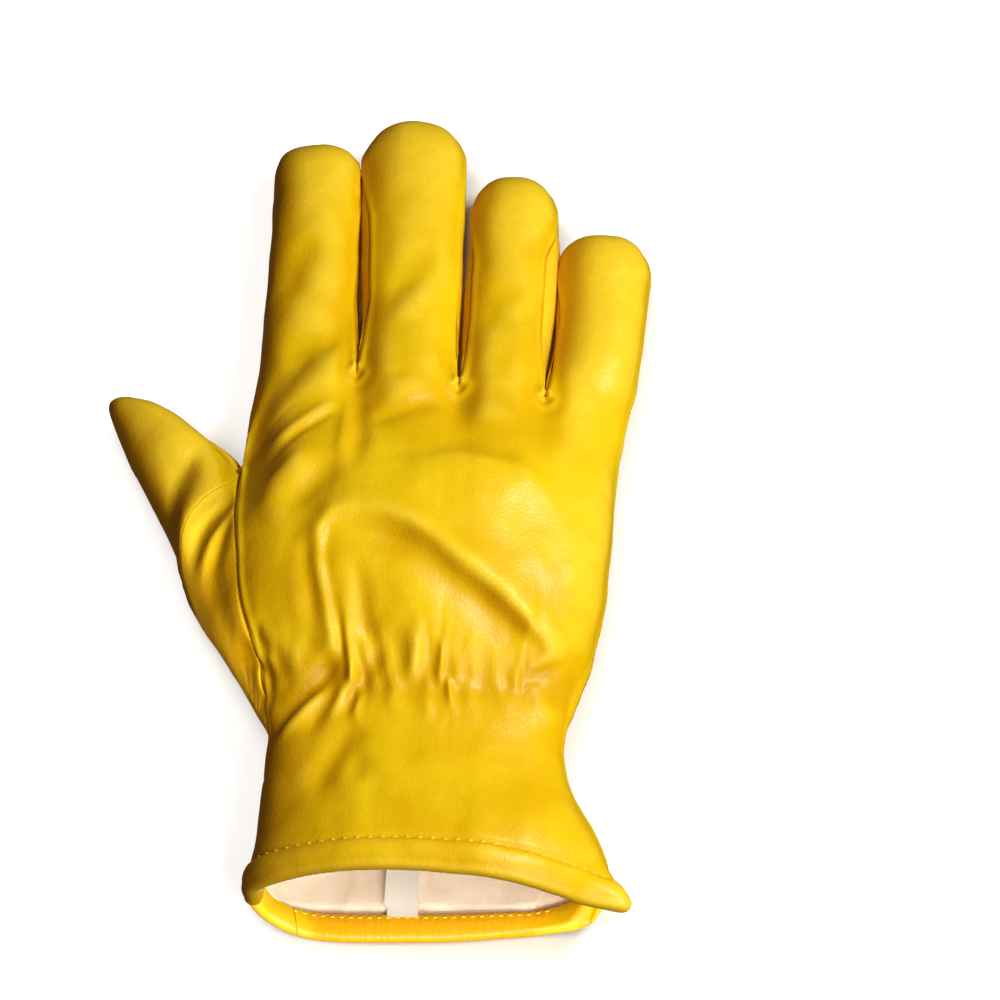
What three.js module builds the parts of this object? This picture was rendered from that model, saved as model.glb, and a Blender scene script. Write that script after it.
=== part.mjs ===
// A lined leather work glove for the right hand, lying on its palm with the back of the hand up.
//
// The outer surface is worked out once, as one skin: a hand body whose closed cross-sections run from the cuff's
// mouth to the roots of the fingers, and five tubes, the stalls, that grow out of those roots. The skin is then cut
// along its seams into the leather pieces that a glover sews, and each piece gets its wall by an offset inwards.
// Lengths are in millimetres. x runs across the hand with the thumb at -x, y from the cuff to the fingertips, and z up
// from the table. While the skin is made, y is counted from the cuff's mouth.
import * as THREE from "three";

// The hand.
const PALM_LENGTH = 164; // from the mouth to the crotches between the fingers
const PALM_WIDTH = 112; // across the knuckles
const WRIST_WIDTH = 84; // at the gathers
const MOUTH_WIDTH = 97; // across the open cuff, seam to seam
const MOUTH_HEIGHT = 40;
const WRIST_HEIGHT = 31;
const HAND_HEIGHT = 41; // over the back of the hand
const KNUCKLE_HEIGHT = 32;
const SIDE_HEIGHT = 15; // where the back turns over into the palm
const REST_DISTANCE = 100; // from the mouth to the middle of the palm, which is the origin

// The walls.
const LEATHER = 1.3;
const LINING = 1.4;
const LAYER_GAP = 0.3; // between two layers that lie on each other
const SEAM_GAP = 0.3; // between two pieces that are sewn edge to edge
const HEM_DEPTH = 10; // how far the leather is turned in at the mouth
const LINING_START = 4; // the lining's edge, tucked this far up into the hem
const VENT_LENGTH = 14; // the open end of the outer seam
const VENT_FLARE = 11.5; // how far the back's corner stands out past the palm's
const VENT_LIFT = 3; // and how far it stands up
const LABEL = { width: 9.5, length: 18, thickness: 0.5, across: -8.5 };

// The stalls' lengths, from the start of each axis to its tip.
const THUMB_LENGTH = 64;
const INDEX_LENGTH = 106;
const MIDDLE_LENGTH = 102;
const RING_LENGTH = 84.5;
const LITTLE_LENGTH = 72;

// Folds and gathers.
const GATHER_LINE = 66; // the elastic's distance from the mouth
const GATHER_DEPTH = 1.5; // the pleats rise and sink by this much above the elastic
const ELASTIC_DEPTH = 2.2;
const FOLD_DEPTH = 3;
const KNUCKLE_DIP = 5; // how far the back sinks between two knuckles

const SHEET_FLAT = 1.5; // how far a rounded underside would reach below the table it is flattened on
const WALL_COLUMNS = 4;
const SHARPEST_CORNER = 0.2; // the sine of half the sharpest corner that a seam gap is mitred for
const CROTCH_BOW = 2.5; // how far a crotch line bows towards the fingertips at mid height
const BLEND_SHARE = 0.3; // share of a stall over which its root melts into the hand

const RAD = Math.PI / 180;

// Outlines of the hand seen from above, at shares of the palm's length. left and right are shares of the half width
// that rules there. Past the thumb's root the left outline runs on along the thumb.
const halfWidthAt = (share) =>
  lerp(lerp(MOUTH_WIDTH, WRIST_WIDTH, smooth(share / 0.32)), PALM_WIDTH, smooth((share - 0.36) / 0.5)) / 2;
const OUTLINE = [
  { at: 0.0, left: -0.99, right: 0.94 },
  { at: 0.06, left: -1.03, right: 1.02 },
  { at: 0.1, left: -1.015, right: 1.065 },
  { at: 0.16, left: -1.015, right: 1.01 },
  { at: 0.235, left: -1.045, right: 0.92 },
  { at: 0.29, left: -1.06, right: 0.9 },
  { at: 0.335, left: -1.07, right: 0.925 },
  { at: 0.38, left: -1.15, right: 0.985 },
  { at: 0.43, left: -1.23, right: 1.042 },
  { at: 0.48, left: -1.31, right: 1.075 },
  { at: 0.56, left: -1.41, right: 1.066 },
  { at: 0.67, left: -1.45, right: 1.015 },
  { at: 0.805, left: -1.53, right: 0.98 },
  { at: 0.93, left: -1.63, right: 1.02 },
  { at: 1.0, left: -1.7, right: 1.055 },
];

// Heights along the middle of the hand.
const heightAt = (share) =>
  lerp(
    lerp(lerp(MOUTH_HEIGHT, WRIST_HEIGHT, smooth((share - 0.06) / 0.28)), HAND_HEIGHT, smooth((share - 0.38) / 0.24)),
    KNUCKLE_HEIGHT,
    smooth((share - 0.72) / 0.28),
  );
// side is the height of the outer edges as a share of the side height, lift how far the underside leaves the table as
// a share of the wrist's height, and round the power of the section over the back.
const PROFILE = [
  { at: 0.0, side: 1.27, lift: 0, round: 2.05 },
  { at: 0.12, side: 1.2, lift: 0, round: 2.1 },
  { at: 0.3, side: 1.05, lift: 0.1, round: 2.3 },
  { at: 0.38, side: 1.0, lift: 0.1, round: 2.4 },
  { at: 0.52, side: 0.95, lift: 0, round: 2.5 },
  { at: 0.8, side: 0.9, lift: 0, round: 2.5 },
  { at: 1.0, side: 0.87, lift: 0, round: 2.4 },
];

// The stops that cut the hand's ring of columns into the shares of the five stalls. x and y are the plan position of
// the stop at the root, as shares of half the palm's width and of its length. mouth, wrist and ball are its angles
// there, in degrees round the section from the outer side over the back. dip is how far the leather sinks into the
// crotch, as a share of the knuckle dip, and spread the dip's half width as a share of half the palm's width.
const BACK_STOPS = [
  { name: "thumb_outside", x: -1.221, y: 0.58, mouth: 222, wrist: 205, ball: 190, dip: 0, spread: 0.1 },
  { name: "thumb_index", x: -0.985, y: 0.822, mouth: 196, wrist: 176, ball: 151, dip: 2.4, spread: 0.16 },
  { name: "index_middle", x: -0.391, y: 1.022, mouth: 122, wrist: 112, ball: 112, dip: 1, spread: 0.1 },
  { name: "middle_ring", x: 0.148, y: 0.996, mouth: 80, wrist: 76, ball: 80, dip: 1, spread: 0.1 },
  { name: "ring_little", x: 0.605, y: 0.977, mouth: 44, wrist: 45, ball: 50, dip: 1, spread: 0.1 },
  { name: "little_outside", x: 1.02, y: 0.915, mouth: 0, wrist: 0, ball: 0, dip: 0, spread: 0.1 },
];
const PALM_STOPS = [
  { name: "thumb_outside", x: -1.221, y: 0.58, mouth: 222, wrist: 205, ball: 190, dip: 0, spread: 0.1 },
  { name: "thumb_index", x: -0.985, y: 0.822, mouth: 246, wrist: 236, ball: 226, dip: 1.2, spread: 0.16 },
  { name: "index_middle", x: -0.391, y: 1.022, mouth: 272, wrist: 268, ball: 264, dip: 0.6, spread: 0.1 },
  { name: "middle_ring", x: 0.148, y: 0.996, mouth: 293, wrist: 291, ball: 290, dip: 0.6, spread: 0.1 },
  { name: "ring_little", x: 0.605, y: 0.977, mouth: 316, wrist: 314, ball: 314, dip: 0.6, spread: 0.1 },
  { name: "little_outside", x: 1.02, y: 0.915, mouth: 360, wrist: 360, ball: 360, dip: 0, spread: 0.1 },
];
const WRIST_Y = 0.34; // the shares of the palm's length at which the wrist and ball angles rule
const BALL_Y = 0.45;
const FLARE_COLUMNS = 3; // columns of the back that the vent's flare fans out
const FRONT_SEAM_SAG = 0.02; // the seam below the middle and ring fronts bows towards the cuff by this share

// The mouth's edge round the section: its distance from the palm's own edge, as a share of the hem's depth.
const MOUTH_EDGE = [
  { at: 0, y: 0.3 },
  { at: 40, y: 0.5 },
  { at: 90, y: 0.65 },
  { at: 150, y: 0.8 },
  { at: 185, y: 0.85 },
  { at: 230, y: 0.1 },
  { at: 270, y: 0 },
  { at: 315, y: 0.15 },
  { at: 360, y: 0.3 },
];

// Rows along the hand, as shares of each column. The first two above the mouth are set by the lining and the hem.
const BODY_ROWS = [0.14, 0.22, 0.3, 0.37, 0.415, 0.45, 0.49, 0.54, 0.61, 0.69, 0.77, 0.85, 0.925, 1];
const LINING_ROWS = 14; // the lining ends at this row, before the stalls' roots
const BACK_COLUMNS = [4, 8, 8, 6, 6];
const PALM_COLUMNS = [3, 4, 4, 4, 4];
const STALL_ROWS = 6; // up to the cap
const CAP_ROWS = 4;

// One row for each stall. x and y are where its axis starts, as shares of half the palm's width and of its length, and
// heading is the axis's turn in degrees. width is a share of the palm's width and height of the knuckles'.
const STALLS = [
  { name: "thumb", length: THUMB_LENGTH, x: -1.07, y: 0.7, heading: 33.8, width: 0.259, height: 0.8 },
  { name: "index", length: INDEX_LENGTH, x: -0.684, y: 0.927, heading: -0.4, width: 0.263, height: 0.94 },
  { name: "middle", length: MIDDLE_LENGTH, x: -0.12, y: 1.006, heading: 0, width: 0.285, height: 0.95 },
  { name: "ring", length: RING_LENGTH, x: 0.386, y: 0.988, heading: -3, width: 0.246, height: 0.94 },
  { name: "little", length: LITTLE_LENGTH, x: 0.82, y: 0.933, heading: -7, width: 0.246, height: 0.88 },
];
// The stalls' ends: cap is the share of the length that the rounded tip takes, square the power of its outline seen
// from above, and seam the angle of the side seams above and below the side, in degrees.
const TIPS = {
  thumb: { cap: 0.36, square: 2, seam: 35 },
  index: { cap: 0.13, square: 2.8, seam: 40 },
  middle: { cap: 0.17, square: 2.3, seam: 40 },
  ring: { cap: 0.2, square: 2.3, seam: 40 },
  little: { cap: 0.21, square: 2.5, seam: 40 },
};

// Half-widths as shares of half the stall's width, with the axis's sideways shift as a share of the same.
const STALL_WIDTHS = {
  thumb: [
    { at: 0.0, half: 1.02, shift: 0.06 },
    { at: 0.24, half: 0.98, shift: 0.2 },
    { at: 0.57, half: 0.83, shift: 0.22 },
    { at: 0.8, half: 0.64, shift: 0.12 },
    { at: 1.0, half: 0.5, shift: -0.1 },
  ],
  index: [
    { at: 0.0, half: 1.05, shift: 0.0 },
    { at: 0.35, half: 0.98, shift: 0.03 },
    { at: 0.8, half: 0.9, shift: 0.05 },
    { at: 1.0, half: 0.9, shift: 0.0 },
  ],
  middle: [
    { at: 0.0, half: 0.93, shift: -0.02 },
    { at: 0.25, half: 0.91, shift: -0.03 },
    { at: 0.7, half: 1.0, shift: 0.04 },
    { at: 1.0, half: 0.99, shift: 0.03 },
  ],
  ring: [
    { at: 0.0, half: 0.93, shift: 0.0 },
    { at: 0.33, half: 0.94, shift: 0.02 },
    { at: 0.78, half: 0.985, shift: 0.01 },
    { at: 1.0, half: 0.97, shift: -0.06 },
  ],
  little: [
    { at: 0.0, half: 0.9, shift: 0.0 },
    { at: 0.5, half: 0.93, shift: 0.04 },
    { at: 0.8, half: 1.0, shift: 0.02 },
    { at: 1.0, half: 0.98, shift: -0.08 },
  ],
};
// Heights along every stall, as shares of its height at the root.
const STALL_HEIGHTS = [
  { at: 0.0, top: 1.0 },
  { at: 0.3, top: 0.87 },
  { at: 0.65, top: 0.82 },
  { at: 1.0, top: 0.78 },
];

// The main dents and ridges of the back. Each runs from one end to the other on a line that bows sideways at its
// middle. Places and bow are shares of half the palm's width (x) and of its length (y), spread is a share of the
// palm's length, and depth a share of the fold depth, down if negative.
const FOLDS = [
  { name: "arc_ridge", x0: -0.44, y0: 0.7, x1: 0.6, y1: 0.44, bow: 0.06, spread: 0.03, depth: 0.8 },
  { name: "arc_valley", x0: -0.4, y0: 0.63, x1: 0.52, y1: 0.45, bow: 0.05, spread: 0.036, depth: -0.9 },
  { name: "ball_ridge", x0: -0.57, y0: 0.65, x1: -0.46, y1: 0.44, bow: 0, spread: 0.024, depth: 0.9 },
  { name: "ball_valley", x0: -0.64, y0: 0.64, x1: -0.53, y1: 0.46, bow: 0, spread: 0.022, depth: -0.6 },
  { name: "web_valley", x0: -0.5, y0: 0.79, x1: -0.76, y1: 0.65, bow: 0, spread: 0.03, depth: -0.8 },
  { name: "index_ridge", x0: -0.52, y0: 0.97, x1: -0.86, y1: 0.85, bow: 0, spread: 0.025, depth: 0.5 },
  { name: "left_pull", x0: -0.5, y0: 0.42, x1: -0.78, y1: 0.34, bow: 0, spread: 0.022, depth: -1.2 },
  { name: "inner_pull", x0: -0.26, y0: 0.43, x1: -0.4, y1: 0.34, bow: 0, spread: 0.022, depth: -1 },
  { name: "right_pocket", x0: 0.52, y0: 0.4, x1: 0.68, y1: 0.43, bow: 0, spread: 0.02, depth: -0.8 },
  { name: "cuff_valley", x0: -0.36, y0: 0.29, x1: -0.58, y1: 0.21, bow: 0, spread: 0.026, depth: -0.5 },
];

function lerp(a, b, t) {
  return a + (b - a) * t;
}

function smooth(t) {
  const c = Math.min(1, Math.max(0, t));
  return c * c * (3 - 2 * c);
}

// A cubic through a table's rows: the value of one column at a share, flat beyond the ends.
function along(table, column, at) {
  const last = table.length - 1;
  if (at <= table[0].at) return table[0][column];
  if (at >= table[last].at) return table[last][column];
  const i = table.findIndex((row) => row.at >= at) - 1;
  const slope = (j) => {
    const a = table[Math.max(0, j - 1)];
    const b = table[Math.min(last, j + 1)];
    return (b[column] - a[column]) / (b.at - a.at);
  };
  const [p, q] = [table[i], table[i + 1]];
  const span = q.at - p.at;
  const t = (at - p.at) / span;
  const [t2, t3] = [t * t, t * t * t];
  return (
    (2 * t3 - 3 * t2 + 1) * p[column] +
    (t3 - 2 * t2 + t) * span * slope(i) +
    (3 * t2 - 2 * t3) * q[column] +
    (t3 - t2) * span * slope(i + 1)
  );
}

// The closed mesh of quads that the leather pieces are cut from. Points closer than a micron are one vertex.
class Skin {
  constructor() {
    this.points = [];
    this.faces = [];
    this.found = new Map();
  }

  // tag keeps two points apart that start at one place.
  vertex(p, tag = "") {
    const key = [p.x, p.y, p.z].map((c) => Math.round(c * 1000)).join(",") + tag;
    if (!this.found.has(key)) {
      this.found.set(key, this.points.length);
      this.points.push(p.clone());
    }
    return this.found.get(key);
  }

  // Adds the quads between two rows of vertices. piece gives the name of the piece that the quad at a column is in.
  strip(lower, upper, piece) {
    for (let i = 0; i + 1 < lower.length; i++) {
      const corners = [lower[i], lower[i + 1], upper[i + 1], upper[i]];
      const ring = corners.filter((c, n) => c !== corners[(n + 3) % 4]);
      if (ring.length > 2) this.faces.push({ ring, piece: piece(i) });
    }
  }

  // Unit normals at the vertices, from the faces around each.
  normals() {
    const sums = this.points.map(() => new THREE.Vector3());
    for (const { ring } of this.faces) {
      const [a, b, c] = ring.map((i) => this.points[i]);
      const d = this.points[ring[ring.length - 1]];
      const cross = new THREE.Vector3().subVectors(c, a).cross(new THREE.Vector3().subVectors(d, b));
      if (ring.length === 3) cross.subVectors(b, a).cross(new THREE.Vector3().subVectors(c, a));
      ring.forEach((i) => sums[i].add(cross));
    }
    return sums.map((n) => n.normalize());
  }
}

// Plan position and height of a point of the hand. angle goes round the section from the outer side over the back,
// and pleat tells how far the gathers lift the point.
function handPoint(angle, y, pleat) {
  const overBack = angle <= Math.PI;
  const share = y / PALM_LENGTH;
  const half = halfWidthAt(share);
  const across = (1 + Math.cos(angle)) / 2;
  const x = lerp(along(OUTLINE, "left", share), along(OUTLINE, "right", share), across) * half;
  const power = along(PROFILE, "round", share) + (overBack ? 0 : 1.2);
  const rise = Math.pow(Math.max(0, 1 - Math.pow(Math.abs(Math.cos(angle)), power)), 1 / power);
  const side = along(PROFILE, "side", share) * SIDE_HEIGHT;
  const floor = along(PROFILE, "lift", share) * WRIST_HEIGHT - SHEET_FLAT;
  const dip = KNUCKLE_DIP * rise * crotchDip(overBack ? BACK_STOPS : PALM_STOPS, x, y);
  if (!overBack) return new THREE.Vector3(x, y, Math.max(0, lerp(side, floor, rise) + dip));
  const relief = rise * (foldHeight(x, y) + gatherHeight(y, pleat));
  return new THREE.Vector3(x, y, lerp(side, heightAt(share), rise) + relief - dip);
}

// Dents and ridges of the back: each is a bell across its line.
function foldHeight(x, y) {
  let height = 0;
  for (const fold of FOLDS) {
    const a = new THREE.Vector2((fold.x0 * PALM_WIDTH) / 2, fold.y0 * PALM_LENGTH);
    const b = new THREE.Vector2((fold.x1 * PALM_WIDTH) / 2, fold.y1 * PALM_LENGTH);
    const ab = b.clone().sub(a);
    const p = new THREE.Vector2(x, y).sub(a);
    const t = Math.min(1, Math.max(0, p.dot(ab) / ab.lengthSq()));
    const bow = new THREE.Vector2(-ab.y, ab.x).normalize().multiplyScalar(4 * t * (1 - t) * fold.bow * PALM_LENGTH);
    const away = p.sub(ab.multiplyScalar(t)).sub(bow).length() / (fold.spread * PALM_LENGTH);
    height += fold.depth * FOLD_DEPTH * Math.exp(-away * away);
  }
  return height;
}

// The elastic's groove, and the pleats that it draws up above itself and, more weakly, below.
function gatherHeight(y, pleat) {
  const from = (y - GATHER_LINE) / PALM_LENGTH;
  const groove = -ELASTIC_DEPTH * Math.exp(-((from / 0.045) ** 2));
  const reach = from > 0 ? Math.exp(-from / 0.11) : Math.exp(from / 0.06);
  return groove + GATHER_DEPTH * reach * pleat;
}

// How deep the leather sinks towards the crotches, as a share of the knuckle dip.
function crotchDip(stops, x, y) {
  return stops.reduce((sum, stop) => {
    const reach = smooth((y / PALM_LENGTH - stop.y) / 0.16 + 1);
    const away = (x / (PALM_WIDTH / 2) - stop.x) / stop.spread;
    return sum + stop.dip * reach * Math.exp(-away * away);
  }, 0);
}

// The distance of the mouth's edge from the palm's own edge.
const mouthY = (angle) => HEM_DEPTH * along(MOUTH_EDGE, "y", angle / RAD);

// The columns of the hand's ring over the back or along the palm, both from the thumb's outer side to the outer side.
// Each knows its angle at any distance from the mouth and the distance of its root.
function handColumns(stops, counts, overBack) {
  const rooted = stops.map((stop, k) => {
    const [left, right] = ["left", "right"].map((side) => along(OUTLINE, side, stop.y) * halfWidthAt(stop.y));
    const cos = Math.min(1, Math.max(-1, (2 * ((stop.x * PALM_WIDTH) / 2 - left)) / (right - left) - 1));
    const inner = overBack ? Math.acos(cos) / RAD : 360 - Math.acos(cos) / RAD;
    const ends = { 0: 180, [stops.length - 1]: overBack ? 0 : 360 };
    return [
      { at: 0, angle: stop.mouth },
      { at: WRIST_Y, angle: stop.wrist },
      { at: Math.min(BALL_Y, stop.y - 0.08), angle: stop.ball },
      { at: stop.y, angle: ends[k] ?? inner },
    ];
  });
  const columns = [];
  counts.forEach((count, k) => {
    for (let i = 0; i <= count; i++) {
      if (i === count && k + 1 < counts.length) continue;
      const t = i / count;
      const seamed = !overBack && frontPiece(k).endsWith("_front");
      const sag = seamed ? FRONT_SEAM_SAG * Math.sin(Math.PI * t) : 0;
      columns.push({
        segment: k,
        pleat: overBack && k > 0 ? (columns.length % 2 ? 1 : -1) : 0,
        angle: (y) => lerp(along(rooted[k], "angle", y), along(rooted[k + 1], "angle", y), t) * RAD,
        root: (lerp(stops[k].y, stops[k + 1].y, t) - sag) * PALM_LENGTH,
      });
    }
  });
  return columns;
}

// A point of the hand at a share of a column's length, or at a distance from its end at the mouth.
function columnPoint(column, share, distance = null) {
  const start = mouthY(column.angle(0));
  const y = distance === null ? lerp(start, column.root, share) : start + distance;
  return handPoint(column.angle(y / PALM_LENGTH), y, column.pleat);
}

// Piece names of the skin's parts.
const backPiece = (segment) => (segment === 0 ? "palm_panel" : "back_panel");
const frontPiece = (k) => ["thumb", "palm_panel", "middle_front", "ring_front", "palm_panel"][k];
const forkName = (k) => ["", "index_middle_fork", "middle_ring_fork", "ring_little_fork"][k];

// The back's outer corner at the mouth stands out past the palm's: its last columns fan out below the vent's top.
function flareCorner(skin, backRows) {
  const lastColumn = backRows[0].length - 1;
  for (const row of backRows) {
    for (let k = 0; k < FLARE_COLUMNS; k++) {
      const p = skin.points[row[lastColumn - k]];
      const open = smooth(1 - p.y / (VENT_LENGTH + mouthY(0))) * smooth(1 - k / FLARE_COLUMNS);
      p.x += VENT_FLARE * open;
      p.z += VENT_LIFT * open;
    }
  }
}

// Builds the whole skin and returns it with the rows of the hand that the hem and the lining follow.
function makeSkin() {
  const skin = new Skin();
  const back = handColumns(BACK_STOPS, BACK_COLUMNS, true);
  const palm = handColumns(PALM_STOPS, PALM_COLUMNS, false);
  const rows = [(c) => columnPoint(c, 0), (c) => columnPoint(c, 0, LINING_START), (c) => columnPoint(c, 0, HEM_DEPTH)];
  BODY_ROWS.forEach((share) => rows.push((c) => columnPoint(c, share)));
  const ventTop = VENT_LENGTH + mouthY(0);
  const backRows = rows.map((row) =>
    back.map((c) => {
      const p = row(c);
      return skin.vertex(p, c === back.at(-1) && p.y < ventTop ? "vent" : "");
    }),
  );
  const palmRows = rows.map((row) => palm.map((c) => skin.vertex(row(c))));
  for (let j = 0; j + 1 < rows.length; j++) {
    skin.strip(backRows[j], backRows[j + 1], (i) => backPiece(back[i].segment));
    skin.strip(palmRows[j + 1], palmRows[j], () => "palm_panel");
  }
  const roots = { back: backRows.at(-1), palm: palmRows.at(-1) };
  STALLS.forEach((stall, k) => makeStall(skin, stall, k, roots));
  const calm = { points: skin.points.map((p) => p.clone()), normals: skin.normals() };
  flareCorner(skin, backRows);
  return { skin, back, backRows, palmRows, calm };
}

// One stall: a tube whose columns start at the hand's root row and at the crotch lines, and end in the tip's pole.
function makeStall(skin, stall, k, roots) {
  const { length } = stall;
  const tip = TIPS[stall.name];
  const width = stall.width * PALM_WIDTH;
  const height = stall.height * KNUCKLE_HEIGHT;
  const heading = stall.heading * RAD;
  const axis = new THREE.Vector3(-Math.sin(heading), Math.cos(heading), 0);
  const lateral = new THREE.Vector3(axis.y, -axis.x, 0);
  const base = new THREE.Vector3((stall.x * PALM_WIDTH) / 2, stall.y * PALM_LENGTH, 0);
  const rootPoints = (row, counts) => {
    const start = counts.slice(0, k).reduce((sum, n) => sum + n, 0);
    return row.slice(start, start + counts[k] + 1).map((i) => skin.points[i]);
  };
  const topRoot = rootPoints(roots.back, BACK_COLUMNS);
  const bottomRoot = rootPoints(roots.palm, PALM_COLUMNS);
  const hasLeftWall = k > 0;
  const hasRightWall = k < STALLS.length - 1;

  // A crotch line runs from the back down to the palm, bowed a little towards the fingertips at mid height.
  const crotch = (from, to) =>
    Array.from({ length: WALL_COLUMNS + 1 }, (_, i) => {
      const p = from.clone().lerp(to, i / WALL_COLUMNS);
      p.y += CROTCH_BOW * Math.sin((Math.PI * i) / WALL_COLUMNS);
      return p;
    });

  const capStart = 1 - tip.cap;
  const section = (theta, s) => {
    const share = s / length;
    const into = Math.min(1, Math.max(0, (share - capStart) / tip.cap));
    const narrow = Math.pow(Math.max(0, 1 - Math.pow(into, tip.square)), 1 / tip.square);
    const low = Math.pow(Math.max(0, 1 - into ** 2.2), 1 / 2.2);
    const table = STALL_WIDTHS[stall.name];
    const a = along(table, "half", share) * (width / 2) * narrow;
    const shift = (along(table, "shift", share) * width) / 2;
    const topZ = along(STALL_HEIGHTS, "top", share) * height;
    const middle = (topZ - SHEET_FLAT) / 2;
    const b = ((topZ + SHEET_FLAT) / 2) * low;
    const squared = (t) => Math.sign(t) * Math.pow(Math.abs(t), 2 / 2.4);
    return base
      .clone()
      .addScaledVector(axis, s)
      .addScaledVector(lateral, shift + a * squared(Math.cos(theta)))
      .setZ(middle + b * squared(Math.sin(theta)));
  };

  // The side seams close in on each other towards the tip.
  const seamAngle = (share) => tip.seam * RAD * lerp(1, 0.12, smooth((share - capStart * 0.72) / (0.3 * capStart)));
  const columns = [];
  const add = (root, theta, piece) => columns.push({ root, theta, piece });
  const forkRow = STALL_ROWS + 1;
  const wallPiece = (upper, fork) => (row) =>
    row < forkRow && fork ? fork : upper ? "back_panel" : frontPiece(k);
  const leftSeam = (share) => Math.PI - (hasLeftWall ? seamAngle(share) : 0);
  const rightSeam = (share) => (hasRightWall ? seamAngle(share) : 0);
  topRoot.forEach((root, i) => {
    const t = i / (topRoot.length - 1);
    add(root, (share) => lerp(leftSeam(share), rightSeam(share), t), () => (k === 0 ? "thumb" : "back_panel"));
  });
  if (hasRightWall) {
    crotch(topRoot.at(-1), bottomRoot.at(-1)).forEach((root, i) => {
      if (i === 0) return;
      const t = i / WALL_COLUMNS;
      const theta = (share) => lerp(seamAngle(share), -seamAngle(share), t);
      const upper = i <= WALL_COLUMNS / 2;
      add(root, theta, k === 0 ? () => "thumb" : wallPiece(upper, forkName(k)));
    });
  }
  bottomRoot
    .slice()
    .reverse()
    .forEach((root, i) => {
      if (i === 0) return;
      const t = i / (bottomRoot.length - 1);
      const low = (share) => (hasRightWall ? -seamAngle(share) : 0);
      const high = (share) => -Math.PI + (hasLeftWall ? seamAngle(share) : 0);
      add(root, (share) => lerp(low(share), high(share), t), () => frontPiece(k));
    });
  if (hasLeftWall) {
    crotch(bottomRoot[0], topRoot[0]).forEach((root, i) => {
      if (i === 0) return;
      const t = i / WALL_COLUMNS;
      const theta = (share) => -Math.PI - lerp(-seamAngle(share), seamAngle(share), t);
      const upper = i > WALL_COLUMNS / 2;
      add(root, theta, wallPiece(upper, k === 1 ? null : forkName(k - 1)));
    });
  }

  const shares = [];
  for (let j = 0; j < STALL_ROWS; j++) shares.push((j / STALL_ROWS) * capStart);
  for (let j = 0; j <= CAP_ROWS; j++) shares.push(capStart + tip.cap * Math.sin((j / CAP_ROWS) * (Math.PI / 2)));
  const blend = BLEND_SHARE * length;
  const rings = shares.map((w, j) =>
    columns.map((column) => {
      if (j === 0) return skin.vertex(column.root);
      const start = column.root.clone().sub(base).dot(axis);
      const s = lerp(start, length, w);
      const pull = section(column.theta(start / length), start).sub(column.root).multiplyScalar(-1);
      const p = section(column.theta(s / length), s).addScaledVector(pull, 1 - smooth((s - start) / blend));
      p.z = Math.max(0, p.z);
      return skin.vertex(p);
    }),
  );
  for (let j = 0; j + 1 < rings.length; j++) {
    skin.strip(rings[j], rings[j + 1], (i) => columns[i + 1].piece(j));
  }
}

// Turns the leather in at the mouth: a half-round roll and a flap that runs back up inside, added to the skin.
function turnHem(made) {
  const { skin, backRows, palmRows } = made;
  const normals = skin.normals();
  const radius = (2 * LEATHER + LINING + 2 * LAYER_GAP) / 2;
  const ringsOf = (rows) => {
    const rolled = [45, 90, 135].map((degrees) =>
      rows[0].map((i, n) => {
        const p = skin.points[i];
        const normal = normals[i];
        const out = p.clone().sub(skin.points[rows[1][n]]);
        out.addScaledVector(normal, -out.dot(normal)).normalize();
        return skin.vertex(
          p
            .clone()
            .addScaledVector(normal, radius * (Math.cos(degrees * RAD) - 1))
            .addScaledVector(out, radius * Math.sin(degrees * RAD)),
        );
      }),
    );
    const flap = rows.slice(0, 3).map((row) =>
      row.map((i) => skin.vertex(skin.points[i].clone().addScaledVector(normals[i], -2 * radius))),
    );
    return [rows[0], ...rolled, ...flap];
  };
  const backRings = ringsOf(backRows);
  const palmRings = ringsOf(palmRows);
  // The flared corner is left as a single layer.
  const hemmed = backRings.map((ring) => ring.slice(0, ring.length - FLARE_COLUMNS));
  for (let j = 0; j + 1 < hemmed.length; j++) {
    skin.strip(hemmed[j + 1], hemmed[j], (i) => backPiece(made.back[i].segment));
    skin.strip(palmRings[j], palmRings[j + 1], () => "palm_panel");
  }
}

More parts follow.
